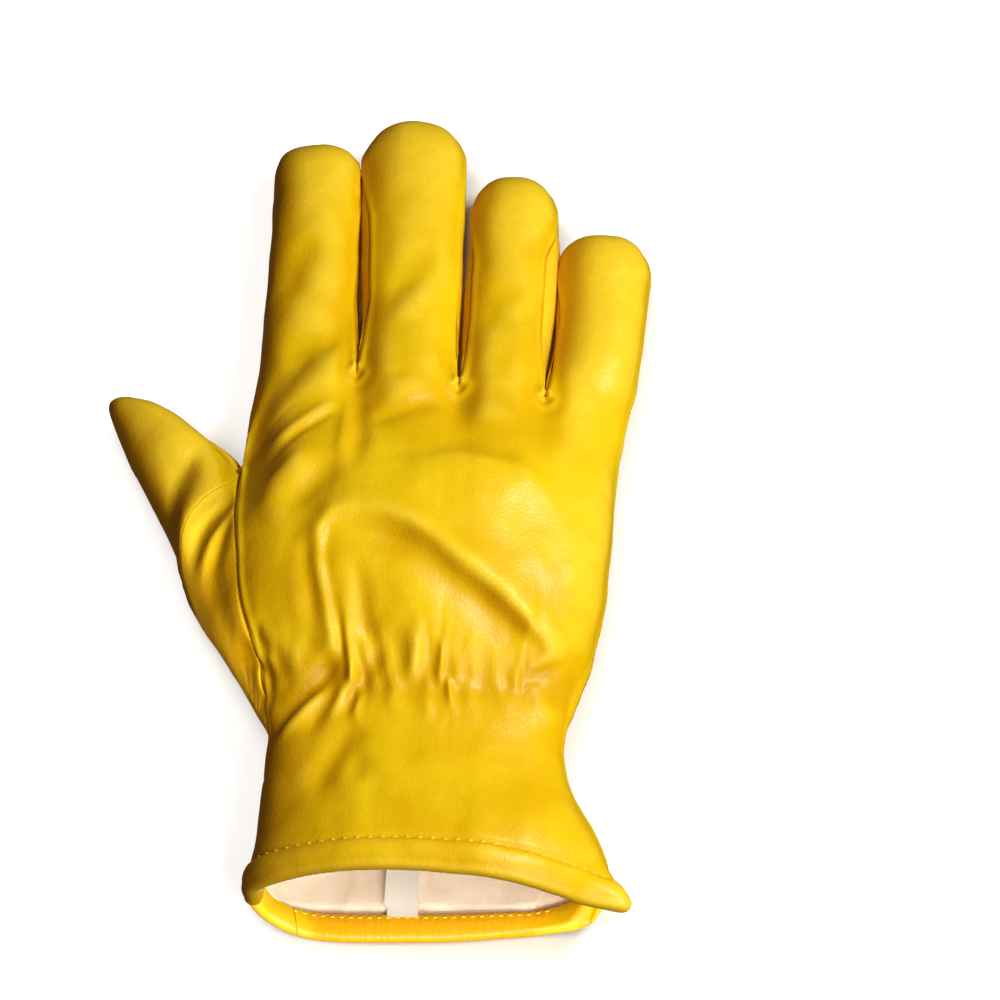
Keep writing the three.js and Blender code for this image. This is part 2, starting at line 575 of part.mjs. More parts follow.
// A closed wall made of the skin's faces of one piece: the outer faces, the same faces moved inwards, and the rim.
// Its edge is drawn back by half a seam gap, so that two pieces never touch. Quads are cut along their shorter diagonal.
function wallGeometry(points, normals, faces, outer, inner, seam) {
  const edges = new Map();
  for (const ring of faces) {
    ring.forEach((a, n) => {
      const b = ring[(n + 1) % ring.length];
      if (edges.get(b + "," + a)) edges.delete(b + "," + a);
      else edges.set(a + "," + b, [a, b]);
    });
  }
  const rim = [...edges.values()];
  const inward = new Map();
  const neighbours = new Map();
  rim.forEach(([a, b]) => {
    neighbours.set(a, [...(neighbours.get(a) ?? []), b]);
    neighbours.set(b, [...(neighbours.get(b) ?? []), a]);
    inward.set(a, new THREE.Vector3());
    inward.set(b, new THREE.Vector3());
  });
  for (const ring of faces) {
    const centre = new THREE.Vector3();
    ring.forEach((i) => centre.addScaledVector(points[i], 1 / ring.length));
    ring.forEach((i) => {
      if (inward.has(i)) inward.get(i).add(centre.clone().sub(points[i]).normalize());
    });
  }
  const used = [...new Set(faces.flat())];
  const index = new Map(used.map((i, n) => [i, n]));
  const place = (i, depth) => {
    const p = points[i].clone();
    if (inward.has(i)) {
      // At a corner of the rim the shift grows, so that both its sides are drawn back by the same amount.
      const [a, b] = neighbours.get(i).map((n) => points[n].clone().sub(points[i]).normalize());
      const mitre = Math.max(SHARPEST_CORNER, Math.sqrt((1 - a.dot(b)) / 2));
      const d = a.sub(b).cross(normals[i]).normalize();
      p.addScaledVector(d, (Math.sign(d.dot(inward.get(i))) * seam) / 2 / mitre);
    }
    return p.addScaledVector(normals[i], -depth);
  };
  const positions = [];
  used.forEach((i) => positions.push(...place(i, outer).toArray()));
  used.forEach((i) => positions.push(...place(i, inner).toArray()));
  const count = used.length;
  const triangles = [];
  for (const ring of faces) {
    const o = ring.map((i) => index.get(i));
    const [p0, p1, p2, p3] = ring.map((i) => points[i]);
    const cut = p3 && p0.distanceTo(p2) > p1.distanceTo(p3) ? [o[1], o[2], o[3], o[0]] : o;
    const fan = [cut.slice(0, 3), ...(p3 ? [[cut[0], cut[2], cut[3]]] : [])];
    fan.forEach(([a, b, c]) => triangles.push(a, b, c, c + count, b + count, a + count));
  }
  // The rim's quads are cut along the same diagonal in the two pieces that share a seam.
  rim.forEach(([i, j]) => {
    const [a, b] = [index.get(i), index.get(j)];
    if (i < j) triangles.push(b, a, a + count, b, a + count, b + count);
    else triangles.push(b, a, b + count, a, a + count, b + count);
  });
  const geometry = new THREE.BufferGeometry();
  geometry.setAttribute("position", new THREE.Float32BufferAttribute(positions, 3));
  geometry.setIndex(triangles);
  geometry.computeVertexNormals();
  return geometry;
}

// Colours and finishes of the real materials.
const leather = new THREE.MeshStandardMaterial({ color: 0xe0b010, roughness: 0.42, metalness: 0 });
const lining = new THREE.MeshStandardMaterial({ color: 0xf0dcc4, roughness: 0.95, metalness: 0 });
const tape = new THREE.MeshStandardMaterial({ color: 0xf4f2ee, roughness: 0.6, metalness: 0 });

const glove = new THREE.Group();
const made = makeSkin();
turnHem(made);
const skinNormals = made.skin.normals();

// The leather pieces, one node each.
const LEATHER_PIECES = [
  "back_panel",
  "palm_panel",
  "thumb",
  "middle_front",
  "ring_front",
  "index_middle_fork",
  "middle_ring_fork",
  "ring_little_fork",
];
for (const name of LEATHER_PIECES) {
  const faces = made.skin.faces.filter((face) => face.piece === name).map((face) => face.ring);
  const mesh = new THREE.Mesh(wallGeometry(made.skin.points, skinNormals, faces, 0, LEATHER, SEAM_GAP), leather);
  mesh.name = name;
  glove.add(mesh);
}

// The lining: a sleeve on the flesh side of the leather, from inside the hem to below the stalls' roots. It keeps to
// the ring that the hand has without the vent's flare.
function makeLining() {
  const faces = [];
  const ring = (j) => [...made.backRows[j], ...made.palmRows[j].slice(1, -1).reverse(), made.backRows[j][0]];
  for (let j = 1; j < LINING_ROWS; j++) {
    const [lower, upper] = [ring(j), ring(j + 1)];
    for (let i = 0; i + 1 < lower.length; i++) faces.push([lower[i], lower[i + 1], upper[i + 1], upper[i]]);
  }
  const depth = LEATHER + LAYER_GAP;
  return wallGeometry(made.calm.points, made.calm.normals, faces, depth, depth + LINING, 0);
}
const lined = new THREE.Mesh(makeLining(), lining);
lined.name = "lining";
glove.add(lined);

// The care label, bare, sewn in at the hem and lying on the lining of the palm.
const labelBottom = LEATHER + LINING + 2 * LAYER_GAP;
const label = new THREE.Mesh(new THREE.BoxGeometry(LABEL.width, LABEL.length, LABEL.thickness), tape);
label.name = "label";
label.position.set(
  LABEL.across,
  HEM_DEPTH + 2 * LAYER_GAP + LABEL.length / 2,
  labelBottom + LABEL.thickness / 2,
);
glove.add(label);

// The origin is on the table, below the middle of the palm.
glove.position.set(0, -REST_DISTANCE, 0);

export default glove;
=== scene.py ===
"""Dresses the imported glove: soft leather pieces cut from one worked-out skin, lining, bare label, stitches and studio.

Lengths are in millimetres until a mesh is made. x runs across the hand with the thumb at -x, y from the cuff to the
fingertips, counted from the cuff's mouth, and z up from the table.
"""

import logging
import math
from dataclasses import dataclass, field
from enum import Enum

import bpy
import numpy as np
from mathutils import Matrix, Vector

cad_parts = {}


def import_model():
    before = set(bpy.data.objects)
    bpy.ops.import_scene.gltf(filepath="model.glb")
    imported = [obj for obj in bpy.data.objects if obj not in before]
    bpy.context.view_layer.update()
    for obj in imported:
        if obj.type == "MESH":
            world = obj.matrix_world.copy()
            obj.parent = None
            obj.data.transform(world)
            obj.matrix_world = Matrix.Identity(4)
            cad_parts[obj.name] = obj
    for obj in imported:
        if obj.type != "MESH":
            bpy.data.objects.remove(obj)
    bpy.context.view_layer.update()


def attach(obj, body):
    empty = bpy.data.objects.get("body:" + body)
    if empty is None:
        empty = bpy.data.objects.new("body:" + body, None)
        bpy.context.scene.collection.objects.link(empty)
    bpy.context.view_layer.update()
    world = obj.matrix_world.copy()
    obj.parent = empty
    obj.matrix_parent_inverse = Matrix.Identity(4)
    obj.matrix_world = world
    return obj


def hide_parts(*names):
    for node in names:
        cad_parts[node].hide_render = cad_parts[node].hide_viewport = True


LOG = logging.getLogger("glove")
Array = np.ndarray
RAD = math.pi / 180


class Piece(Enum):
    """The leather pieces, with the CAD node that each stands for."""

    BACK = "back_panel"
    PALM = "palm_panel"
    THUMB = "thumb"
    MIDDLE_FRONT = "middle_front"
    RING_FRONT = "ring_front"
    INDEX_MIDDLE_FORK = "index_middle_fork"
    MIDDLE_RING_FORK = "middle_ring_fork"
    RING_LITTLE_FORK = "ring_little_fork"


PIECES = tuple(Piece)
FRONTS = (Piece.THUMB, Piece.PALM, Piece.MIDDLE_FRONT, Piece.RING_FRONT, Piece.PALM)
FORKS = (None, Piece.INDEX_MIDDLE_FORK, Piece.MIDDLE_RING_FORK, Piece.RING_LITTLE_FORK, None)


def lerp(a: Array, b: Array, t: Array) -> Array:
    """Value between a and b at the share t."""
    return a + (b - a) * t


def smooth(t: Array) -> Array:
    """Share t clamped to 0 to 1 and eased at both ends: three t squared less two t cubed."""
    c = np.clip(t, 0.0, 1.0)
    return c * c * (3 - 2 * c)


def bell(away: Array) -> Array:
    """A bell curve: the exponential of minus away squared."""
    return np.exp(-np.square(away))


def unit(vectors: Array) -> Array:
    """The vectors at length one."""
    return vectors / np.maximum(np.linalg.norm(vectors, axis=-1, keepdims=True), 1e-9)


class Table:
    """Rows of numbers with named columns. The first column is the share that the others belong to."""

    def __init__(self, columns: str, *rows: tuple[float, ...]) -> None:
        """Keeps the rows.

        Args:
            columns: the columns' names, with a space between.
            rows: one tuple of numbers for each row.
        """
        self.columns = columns.split()
        self.values = np.array(rows, dtype=float)

    def at(self, column: str, share: Array) -> Array:
        """Reads a column by a cubic through its rows, whose slope at a row is that of the line from the row before to
        the row after. It is flat beyond the ends.

        Args:
            column: the column's name.
            share: where to read it.

        Returns:
            The column's values at the shares.
        """
        x = self.values[:, 0]
        y = self.values[:, self.columns.index(column)]
        last = len(x) - 1
        before = np.maximum(np.arange(last + 1) - 1, 0)
        after = np.minimum(np.arange(last + 1) + 1, last)
        slope = (y[after] - y[before]) / (x[after] - x[before])
        s = np.clip(share, x[0], x[-1])
        i = np.clip(np.searchsorted(x, s, side="right") - 1, 0, last - 1)
        span = x[i + 1] - x[i]
        t = (s - x[i]) / span
        t2, t3 = t * t, t * t * t
        return (
            (2 * t3 - 3 * t2 + 1) * y[i]
            + (t3 - 2 * t2 + t) * span * slope[i]
            + (3 * t2 - 2 * t3) * y[i + 1]
            + (t3 - t2) * span * slope[i + 1]
        )


class Noise:
    """Gradient noise in space. Its lattice of directions is drawn once from a fixed seed, so each run is the same."""

    def __init__(self, seed: int) -> None:
        """Draws the lattice.

        Args:
            seed: the seed of the draw.
        """
        rng = np.random.default_rng(seed)
        self.order = np.tile(rng.permutation(256), 3)
        self.directions = unit(rng.normal(size=(256, 3)))

    def at(self, points: Array, size: tuple[float, float, float] | float) -> Array:
        """Noise from about -1 to 1: at each corner of a point's cell a random direction is set against the way from
        the corner to the point, and the eight results are faded into each other.

        Args:
            points: places, n by 3.
            size: the features' length along x, y and z, in millimetres.

        Returns:
            One value for each point.
        """
        p = points / np.asarray(size)
        cell = np.floor(p).astype(int)
        inside = p - cell
        fade = inside**3 * (inside * (inside * 6 - 15) + 10)
        total = np.zeros(len(points))
        for corner in np.ndindex(2, 2, 2):
            c = (cell + corner) & 255
            h = self.order[self.order[self.order[c[:, 0]] + c[:, 1]] + c[:, 2]]
            share = np.prod(np.where(np.array(corner) == 1, fade, 1 - fade), axis=1)
            total += share * np.sum(self.directions[h] * (inside - corner), axis=1)
        return total * 1.6


# ---- sizes ----
@dataclass(frozen=True)
class HandSizes:
    """The glove's named sizes, the same as the solids'."""

    palm_length: float = 164.0
    palm_width: float = 112.0
    wrist_width: float = 84.0
    mouth_width: float = 97.0
    mouth_height: float = 40.0
    wrist_height: float = 31.0
    hand_height: float = 41.0
    knuckle_height: float = 32.0
    side_height: float = 15.0
    rest_distance: float = 100.0
    leather: float = 1.3
    lining: float = 1.4
    layer_gap: float = 0.3
    seam_gap: float = 0.14
    hem_depth: float = 10.0
    back_stitches: float = 6.6
    back_flap: float = 8.0
    palm_flap: float = 4.9
    corner_flap: float = 4.2
    lining_start: float = 4.0
    lining_end: float = 143.0
    vent_length: float = 14.0
    vent_flare: float = 11.5
    vent_lift: float = 3.0
    vent_spread: float = 26.0
    back_corner: float = 3.6
    palm_trim: float = 24.0
    palm_spread: float = 70.0
    palm_shift: float = 5.0
    gather_line: float = 66.0
    elastic_depth: float = 2.2
    knuckle_dip: float = 5.0
    sheet_flat: float = 1.5
    crotch_bow: float = 5.0
    blend_share: float = 0.3
    wrist_share: float = 0.34
    ball_share: float = 0.45
    front_seam_sag: float = 0.02

    @property
    def roll(self) -> float:
        """Radius of the turned hem round two layers of leather, the lining and the gaps between them."""
        return (2 * self.leather + self.lining + 2 * self.layer_gap) / 2


OUTLINE = Table(
    "at left right",
    (0.0, -0.99, 0.94),
    (0.06, -1.03, 1.02),
    (0.1, -1.015, 1.065),
    (0.16, -1.015, 1.01),
    (0.235, -1.045, 0.92),
    (0.29, -1.06, 0.9),
    (0.335, -1.07, 0.925),
    (0.38, -1.15, 0.985),
    (0.43, -1.23, 1.042),
    (0.48, -1.31, 1.075),
    (0.56, -1.41, 1.066),
    (0.67, -1.45, 1.015),
    (0.805, -1.53, 0.98),
    (0.93, -1.63, 1.02),
    (1.0, -1.7, 1.055),
)
PROFILE = Table(
    "at side lift round",
    (0.0, 1.27, 0, 2.05),
    (0.12, 1.2, 0, 2.1),
    (0.3, 1.05, 0.1, 2.3),
    (0.38, 1.0, 0.1, 2.4),
    (0.52, 0.95, 0, 2.5),
    (0.8, 0.9, 0, 2.5),
    (1.0, 0.87, 0, 2.4),
)
# The mouth's edge round the section, in degrees: its distance from the palm's own edge as a share of the hem's depth.
MOUTH_EDGE = Table(
    "angle y",
    (0, 0.3),
    (40, 0.5),
    (72, 0.78),
    (98, 0.95),
    (125, 0.96),
    (150, 0.88),
    (185, 0.85),
    (230, 0.2),
    (270, 0.12),
    (315, 0.2),
    (360, 0.3),
)


@dataclass(frozen=True)
class Stop:
    """Where two stalls part at the root, and how the line down from there runs round the hand to the mouth."""

    x: float
    y: float
    mouth: float
    wrist: float
    ball: float
    dip: float
    spread: float = 0.1


BACK_STOPS = (
    Stop(-1.221, 0.58, 222, 205, 190, 0),
    Stop(-0.985, 0.822, 189, 176, 151, 2.4, 0.16),
    Stop(-0.391, 1.022, 122, 112, 112, 1),
    Stop(0.148, 0.996, 80, 76, 80, 1),
    Stop(0.605, 0.977, 44, 45, 50, 1),
    Stop(1.02, 0.915, 0, 0, 0, 0),
)
PALM_STOPS = (
    Stop(-1.221, 0.58, 222, 205, 190, 0),
    Stop(-0.985, 0.822, 246, 236, 226, 1.2, 0.16),
    Stop(-0.391, 1.022, 272, 268, 264, 0.6),
    Stop(0.148, 0.996, 293, 291, 290, 0.6),
    Stop(0.605, 0.977, 316, 314, 314, 0.6),
    Stop(1.02, 0.915, 360, 360, 360, 0),
)


@dataclass(frozen=True)
class Stall:
    """One finger of the glove: a tube along an axis, with a rounded tip. Places are shares of the hand's sizes."""

    name: str
    length: float
    x: float
    y: float
    heading: float
    width: float
    height: float
    cap: float
    square: float
    seams: tuple[float, float]
    widths: Table


STALLS = (
    Stall(
        "thumb", 64, -1.07, 0.7, 33.8, 0.259, 0.8, 0.36, 2, (35, 35),
        Table(
            "at half shift",
            (0, 1.02, 0.06),
            (0.24, 0.98, 0.2),
            (0.57, 0.83, 0.22),
            (0.8, 0.64, 0.12),
            (1, 0.5, -0.1),
        ),
    ),
    Stall(
        "index", 106, -0.684, 0.927, -0.4, 0.263, 0.94, 0.13, 2.8, (40, 20),
        Table("at half shift", (0, 1.05, 0), (0.35, 0.98, 0.03), (0.8, 0.9, 0.05), (1, 0.9, 0)),
    ),
    Stall(
        "middle", 102, -0.12, 1.006, 0, 0.285, 0.95, 0.17, 2.3, (35, 20),
        Table("at half shift", (0, 0.93, -0.02), (0.25, 0.91, -0.03), (0.7, 1, 0.04), (1, 0.99, 0.03)),
    ),
    Stall(
        "ring", 84.5, 0.386, 0.988, -3, 0.246, 0.94, 0.2, 2.3, (32, 42),
        Table("at half shift", (0, 0.93, 0), (0.33, 0.94, 0.02), (0.78, 0.985, 0.01), (1, 0.97, -0.06)),
    ),
    Stall(
        "little", 72, 0.82, 0.933, -7, 0.246, 0.88, 0.21, 2.5, (20, 0),
        Table("at half shift", (0, 0.9, 0), (0.5, 0.93, 0.04), (0.8, 1, 0.02), (1, 0.98, -0.08)),
    ),
)
STALL_HEIGHTS = Table("at top", (0, 1), (0.3, 0.87), (0.65, 0.82), (1, 0.78))
# How much of the gap to the next stall the soft side walls close, from the root to the tip.
GAPS_CLOSED = (
    Table("at closed", (0, 0), (1, 0)),
    Table("at closed", (0, 0), (0.12, 1), (0.75, 1), (0.9, 0.6), (1, 0)),
    Table("at closed", (0, 0), (0.12, 1), (0.4, 1), (0.65, 0.4), (0.9, 0)),
    Table("at closed", (0, 0), (0.12, 1), (0.7, 1), (0.88, 0.6), (1, 0)),
)


@dataclass(frozen=True)
class Fold:
    """A ridge of the back, or a valley where its height is below nought, along a smooth line.

    The line's places are shares of half the palm's width and of its length. left and right are the widths, in
    millimetres, on the left and right of somebody who walks along it, and rise and fade are the shares of its length
    over which it comes up and goes down.
    """

    name: str
    height: float
    left: float
    right: float
    path: tuple[tuple[float, float], ...]
    rise: float = 0.25
    fade: float = 0.25


FOLDS = (
    Fold(
        "arc_ridge", 2.3, 6.5, 3.0,
        (
            (-0.54, 0.668), (-0.43, 0.694), (-0.24, 0.692), (-0.08, 0.665),
            (0.144, 0.6), (0.398, 0.54), (0.628, 0.472), (0.7, 0.44),
        ),
        0.12, 0.12,
    ),
    Fold(
        "arc_crest", 0.6, 2.0, 1.4,
        ((-0.2, 0.686), (-0.08, 0.663), (0.144, 0.597), (0.398, 0.537), (0.6, 0.475)),
        0.3, 0.4,
    ),
    Fold(
        "arc_valley", -2.3, 3.0, 8.0,
        ((-0.43, 0.655), (-0.2, 0.648), (-0.03, 0.634), (0.144, 0.583), (0.324, 0.527), (0.534, 0.458)),
        0.3, 0.2,
    ),
    Fold(
        "index_dent", -1.2, 4.0, 5.0,
        ((-0.62, 1.34), (-0.74, 1.25), (-0.78, 1.17)),
        0.4, 0.4,
    ),
    Fold(
        "index_low_dent", -1.1, 4.0, 4.0,
        ((-0.6, 1.12), (-0.7, 1.06), (-0.66, 1.0)),
        0.4, 0.4,
    ),
    Fold(
        "middle_dent", -1.3, 5.0, 4.0,
        ((0.02, 1.33), (-0.1, 1.25), (-0.26, 1.17)),
        0.4, 0.4,
    ),
    Fold(
        "middle_swell", 1.1, 3.5, 3.5,
        ((-0.02, 1.23), (-0.12, 1.17), (-0.2, 1.12)),
        0.4, 0.4,
    ),
    Fold(
        "ring_dent", -1.1, 4.0, 5.0,
        ((0.48, 1.24), (0.36, 1.17), (0.32, 1.1)),
        0.4, 0.4,
    ),
    Fold(
        "ball_ridge", 1.8, 1.8, 3.6,
        (
            (-0.36, 0.692), (-0.46, 0.69), (-0.535, 0.668),
            (-0.557, 0.62), (-0.531, 0.557), (-0.489, 0.483), (-0.455, 0.41),
        ),
        0.3, 0.25,
    ),
    Fold(
        "ball_valley", -1.6, 5.0, 1.8,
        ((-0.6, 0.66), (-0.605, 0.6), (-0.575, 0.53), (-0.53, 0.45)),
        0.25, 0.4,
    ),
    Fold(
        "slot_valley", -1.4, 1.6, 2.6,
        ((-0.36, 0.62), (-0.325, 0.56), (-0.305, 0.507), (-0.25, 0.445)),
        0.4, 0.3,
    ),
    Fold(
        "web_valley", -2.2, 5.0, 5.0,
        ((-0.47, 0.83), (-0.56, 0.765), (-0.67, 0.72), (-0.78, 0.69)),
        0.4, 0.4,
    ),
    Fold(
        "web_crest", 1.4, 5.0, 3.0,
        ((-0.62, 0.84), (-0.78, 0.77), (-0.92, 0.73)),
        0.4, 0.4,
    ),
    Fold(
        "index_streak", 1.1, 1.4, 2.0,
        ((-0.47, 0.945), (-0.675, 0.889), (-0.87, 0.835), (-0.95, 0.8)),
        0.2, 0.4,
    ),
    Fold(
        "index_slot", -0.9, 1.4, 1.4,
        ((-0.5, 0.92), (-0.684, 0.872), (-0.85, 0.82)),
        0.2, 0.4,
    ),
    Fold(
        "index_stripe", 0.8, 2.6, 2.2,
        ((-0.439, 0.965), (-0.436, 0.882), (-0.45, 0.79)),
        0.3, 0.4,
    ),
    Fold(
        "index_crease", -1.1, 1.2, 3.4,
        ((-0.375, 0.965), (-0.352, 0.9), (-0.355, 0.82), (-0.4, 0.76)),
        0.3, 0.5,
    ),
    Fold(
        "middle_crease", -1.0, 1.3, 3.4,
        ((-0.34, 0.893), (-0.214, 0.91), (-0.041, 0.941), (0.1, 0.96)),
        0.3, 0.4,
    ),
    Fold(
        "middle_rise", 0.8, 3.5, 4.0,
        ((-0.26, 0.965), (-0.12, 0.975), (0.0, 0.99)),
        0.3, 0.4,
    ),
    Fold(
        "ring_rise", 0.8, 5.0, 4.0,
        ((0.2, 0.925), (0.34, 0.915), (0.46, 0.895)),
        0.3, 0.4,
    ),
    Fold(
        "shoulder_valley", -1.1, 4.0, 5.0,
        ((0.05, 0.86), (0.3, 0.845), (0.53, 0.8)),
        0.3, 0.4,
    ),
    Fold(
        "shoulder", 1.3, 4.0, 7.0,
        ((-0.16, 0.783), (0.096, 0.8), (0.312, 0.798), (0.528, 0.768), (0.657, 0.72)),
        0.3, 0.3,
    ),
    Fold(
        "left_pull", -2.1, 1.6, 2.6,
        ((-0.42, 0.46), (-0.5, 0.42), (-0.64, 0.372), (-0.78, 0.315)),
        0.3, 0.3,
    ),
    Fold(
        "left_pull_crest", 1.6, 2.0, 1.6,
        ((-0.42, 0.41), (-0.53, 0.38), (-0.66, 0.34), (-0.76, 0.29)),
        0.3, 0.4,
    ),
    Fold(
        "inner_pull", -2.1, 1.5, 2.6,
        ((-0.2, 0.46), (-0.27, 0.425), (-0.344, 0.389), (-0.42, 0.325)),
        0.3, 0.4,
    ),
    Fold(
        "inner_pull_crest", 1.6, 1.6, 2.0,
        ((-0.33, 0.435), (-0.41, 0.385), (-0.48, 0.33)),
        0.3, 0.4,
    ),
    Fold(
        "outer_pull", -1.6, 1.4, 1.8,
        ((-0.455, 0.42), (-0.5, 0.369), (-0.59, 0.294)),
        0.3, 0.4,
    ),
    Fold(
        "side_pull", -1.6, 1.3, 2.2,
        ((-0.985, 0.504), (-0.84, 0.44), (-0.68, 0.415)),
        0.3, 0.4,
    ),
    Fold(
        "side_pull_upper", -1.2, 1.2, 2.0,
        ((-0.9, 0.51), (-0.79, 0.46), (-0.68, 0.43)),
        0.3, 0.4,
    ),
    Fold(
        "right_pocket", -1.0, 1.4, 1.4,
        ((0.47, 0.405), (0.58, 0.42), (0.69, 0.447)),
        0.4, 0.4,
    ),
    Fold(
        "right_pocket_crest", 0.8, 1.4, 1.6,
        ((0.5, 0.43), (0.58, 0.44), (0.66, 0.465)),
        0.4, 0.4,
    ),
    Fold(
        "cuff_valley", -1.5, 4.0, 3.6,
        ((-0.3, 0.33), (-0.4, 0.29), (-0.5, 0.23), (-0.56, 0.16)),
        0.3, 0.4,
    ),
    Fold(
        "cuff_patch", -0.7, 3.5, 4.5,
        ((-0.3, 0.27), (-0.33, 0.24), (-0.34, 0.2)),
        0.4, 0.4,
    ),
    Fold(
        "thumb_root", 1.0, 6.0, 6.0,
        ((-1.5, 0.93), (-1.4, 0.88), (-1.3, 0.83)),
        0.4, 0.4,
    ),
    Fold(
        "thumb_ridge", 1.6, 2.6, 2.6,
        ((-1.528, 0.983), (-1.338, 0.908), (-1.167, 0.824), (-1.06, 0.77)),
        0.3, 0.3,
    ),
    Fold(
        "thumb_fold", -1.5, 1.2, 1.8,
        ((-1.02, 0.755), (-1.129, 0.719), (-1.27, 0.666)),
        0.15, 0.4,
    ),
    Fold(
        "thumb_low_fold", -1.2, 1.1, 1.6,
        ((-1.04, 0.73), (-1.144, 0.687), (-1.26, 0.641)),
        0.15, 0.4,
    ),
    Fold(
        "thumb_facet", 1.3, 1.8, 2.2,
        ((-1.04, 0.73), (-1.1, 0.68), (-1.17, 0.61)),
        0.15, 0.4,
    ),
    Fold(
        "strip_fold", -1.6, 1.4, 2.2,
        ((-1.03, 0.727), (-1.07, 0.66), (-1.08, 0.6), (-0.99, 0.5), (-0.86, 0.42)),
        0.15, 0.3,
    ),
)


# How far the thumb's root and the strip beside it lie flatter than the solids, as a share of their height.
THUMB_SINK = Fold(
    "thumb_sink", 0.2, 13.0, 9.0,
    ((-1.2, 0.92), (-1.18, 0.76), (-1.16, 0.62), (-1.1, 0.48)),
    0.25, 0.3,
)


@dataclass(frozen=True)
class Rib:
    """One pleat that the elastic draws up. x is its place at the gather line and lean how far its other end stands
    aside, as shares of half the palm's width. length, width and height are in millimetres, and a length below nought
    runs towards the cuff."""

    x: float
    lean: float
    length: float
    width: float
    height: float


RIBS = (
    Rib(-0.86, -0.02, 16, 1.8, 0.9),
    Rib(-0.75, -0.06, 18, 1.5, 1.1),
    Rib(-0.635, -0.05, 14, 1.4, 1.3),
    Rib(-0.56, -0.03, 11, 1.2, 1.0),
    Rib(-0.37, -0.04, 24, 1.4, 1.6),
    Rib(-0.263, -0.06, 16, 1.3, 1.5),
    Rib(-0.179, -0.05, 17, 1.3, 1.6),
    Rib(-0.07, 0.03, 21, 1.6, 1.9),
    Rib(0.063, 0.02, 13, 1.3, 1.6),
    Rib(0.16, 0.0, 10, 1.2, 1.4),
    Rib(0.25, -0.03, 13, 1.3, 1.1),
    Rib(0.345, 0.02, 10, 1.2, 0.9),
    Rib(0.44, 0.03, 8, 1.2, 0.8),
    Rib(0.8, 0.04, 12, 1.5, 0.7),
    Rib(0.88, 0.02, 10, 1.3, 0.6),
    Rib(-0.33, -0.05, -13, 1.5, 1.1),
    Rib(-0.15, -0.01, -13, 1.8, 1.0),
    Rib(0.01, 0.0, -16, 1.6, 1.2),
    Rib(0.11, 0.02, -13, 1.4, 1.2),
    Rib(0.21, 0.03, -14, 1.5, 1.0),
    Rib(0.36, 0.05, -11, 1.7, 0.7),
    Rib(0.55, 0.08, -14, 2.2, 0.6),
)


def line_field(places: Array, path: Array) -> tuple[Array, Array]:
    """Signed distance of places from a path in the plan, and the share of its length where each is nearest.

    Each place is set against every piece of the path and the nearest one rules. The distance is above nought on the
    left of the path.

    Args:
        places: n by 2.
        path: m by 2.

    Returns:
        The signed distances and the shares.
    """
    a, ab = path[:-1], np.diff(path, axis=0)
    squared = np.sum(ab * ab, axis=1)
    rel = places[:, None, :] - a[None]
    t = np.clip(np.sum(rel * ab, axis=2) / squared, 0, 1)
    off = rel - t[..., None] * ab
    nearest = np.argmin(np.sum(off * off, axis=2), axis=1)
    row = np.arange(len(places))
    o, d, tn = off[row, nearest], ab[nearest], t[row, nearest]
    lengths = np.sqrt(squared)
    start = np.concatenate(([0.0], np.cumsum(lengths)))
    share = (start[nearest] + tn * lengths[nearest]) / start[-1]
    side = np.sign(d[:, 0] * o[:, 1] - d[:, 1] * o[:, 0])
    return side * np.linalg.norm(o, axis=1), share


def rounded_path(path: Array, count: int = 60) -> Array:
    """A path's places joined by a cubic through them, as count places."""
    at = np.linspace(0, 1, len(path))
    table = Table("at x y", *np.column_stack((at, path)).tolist())
    share = np.linspace(0, 1, count)
    return np.column_stack((table.at("x", share), table.at("y", share)))


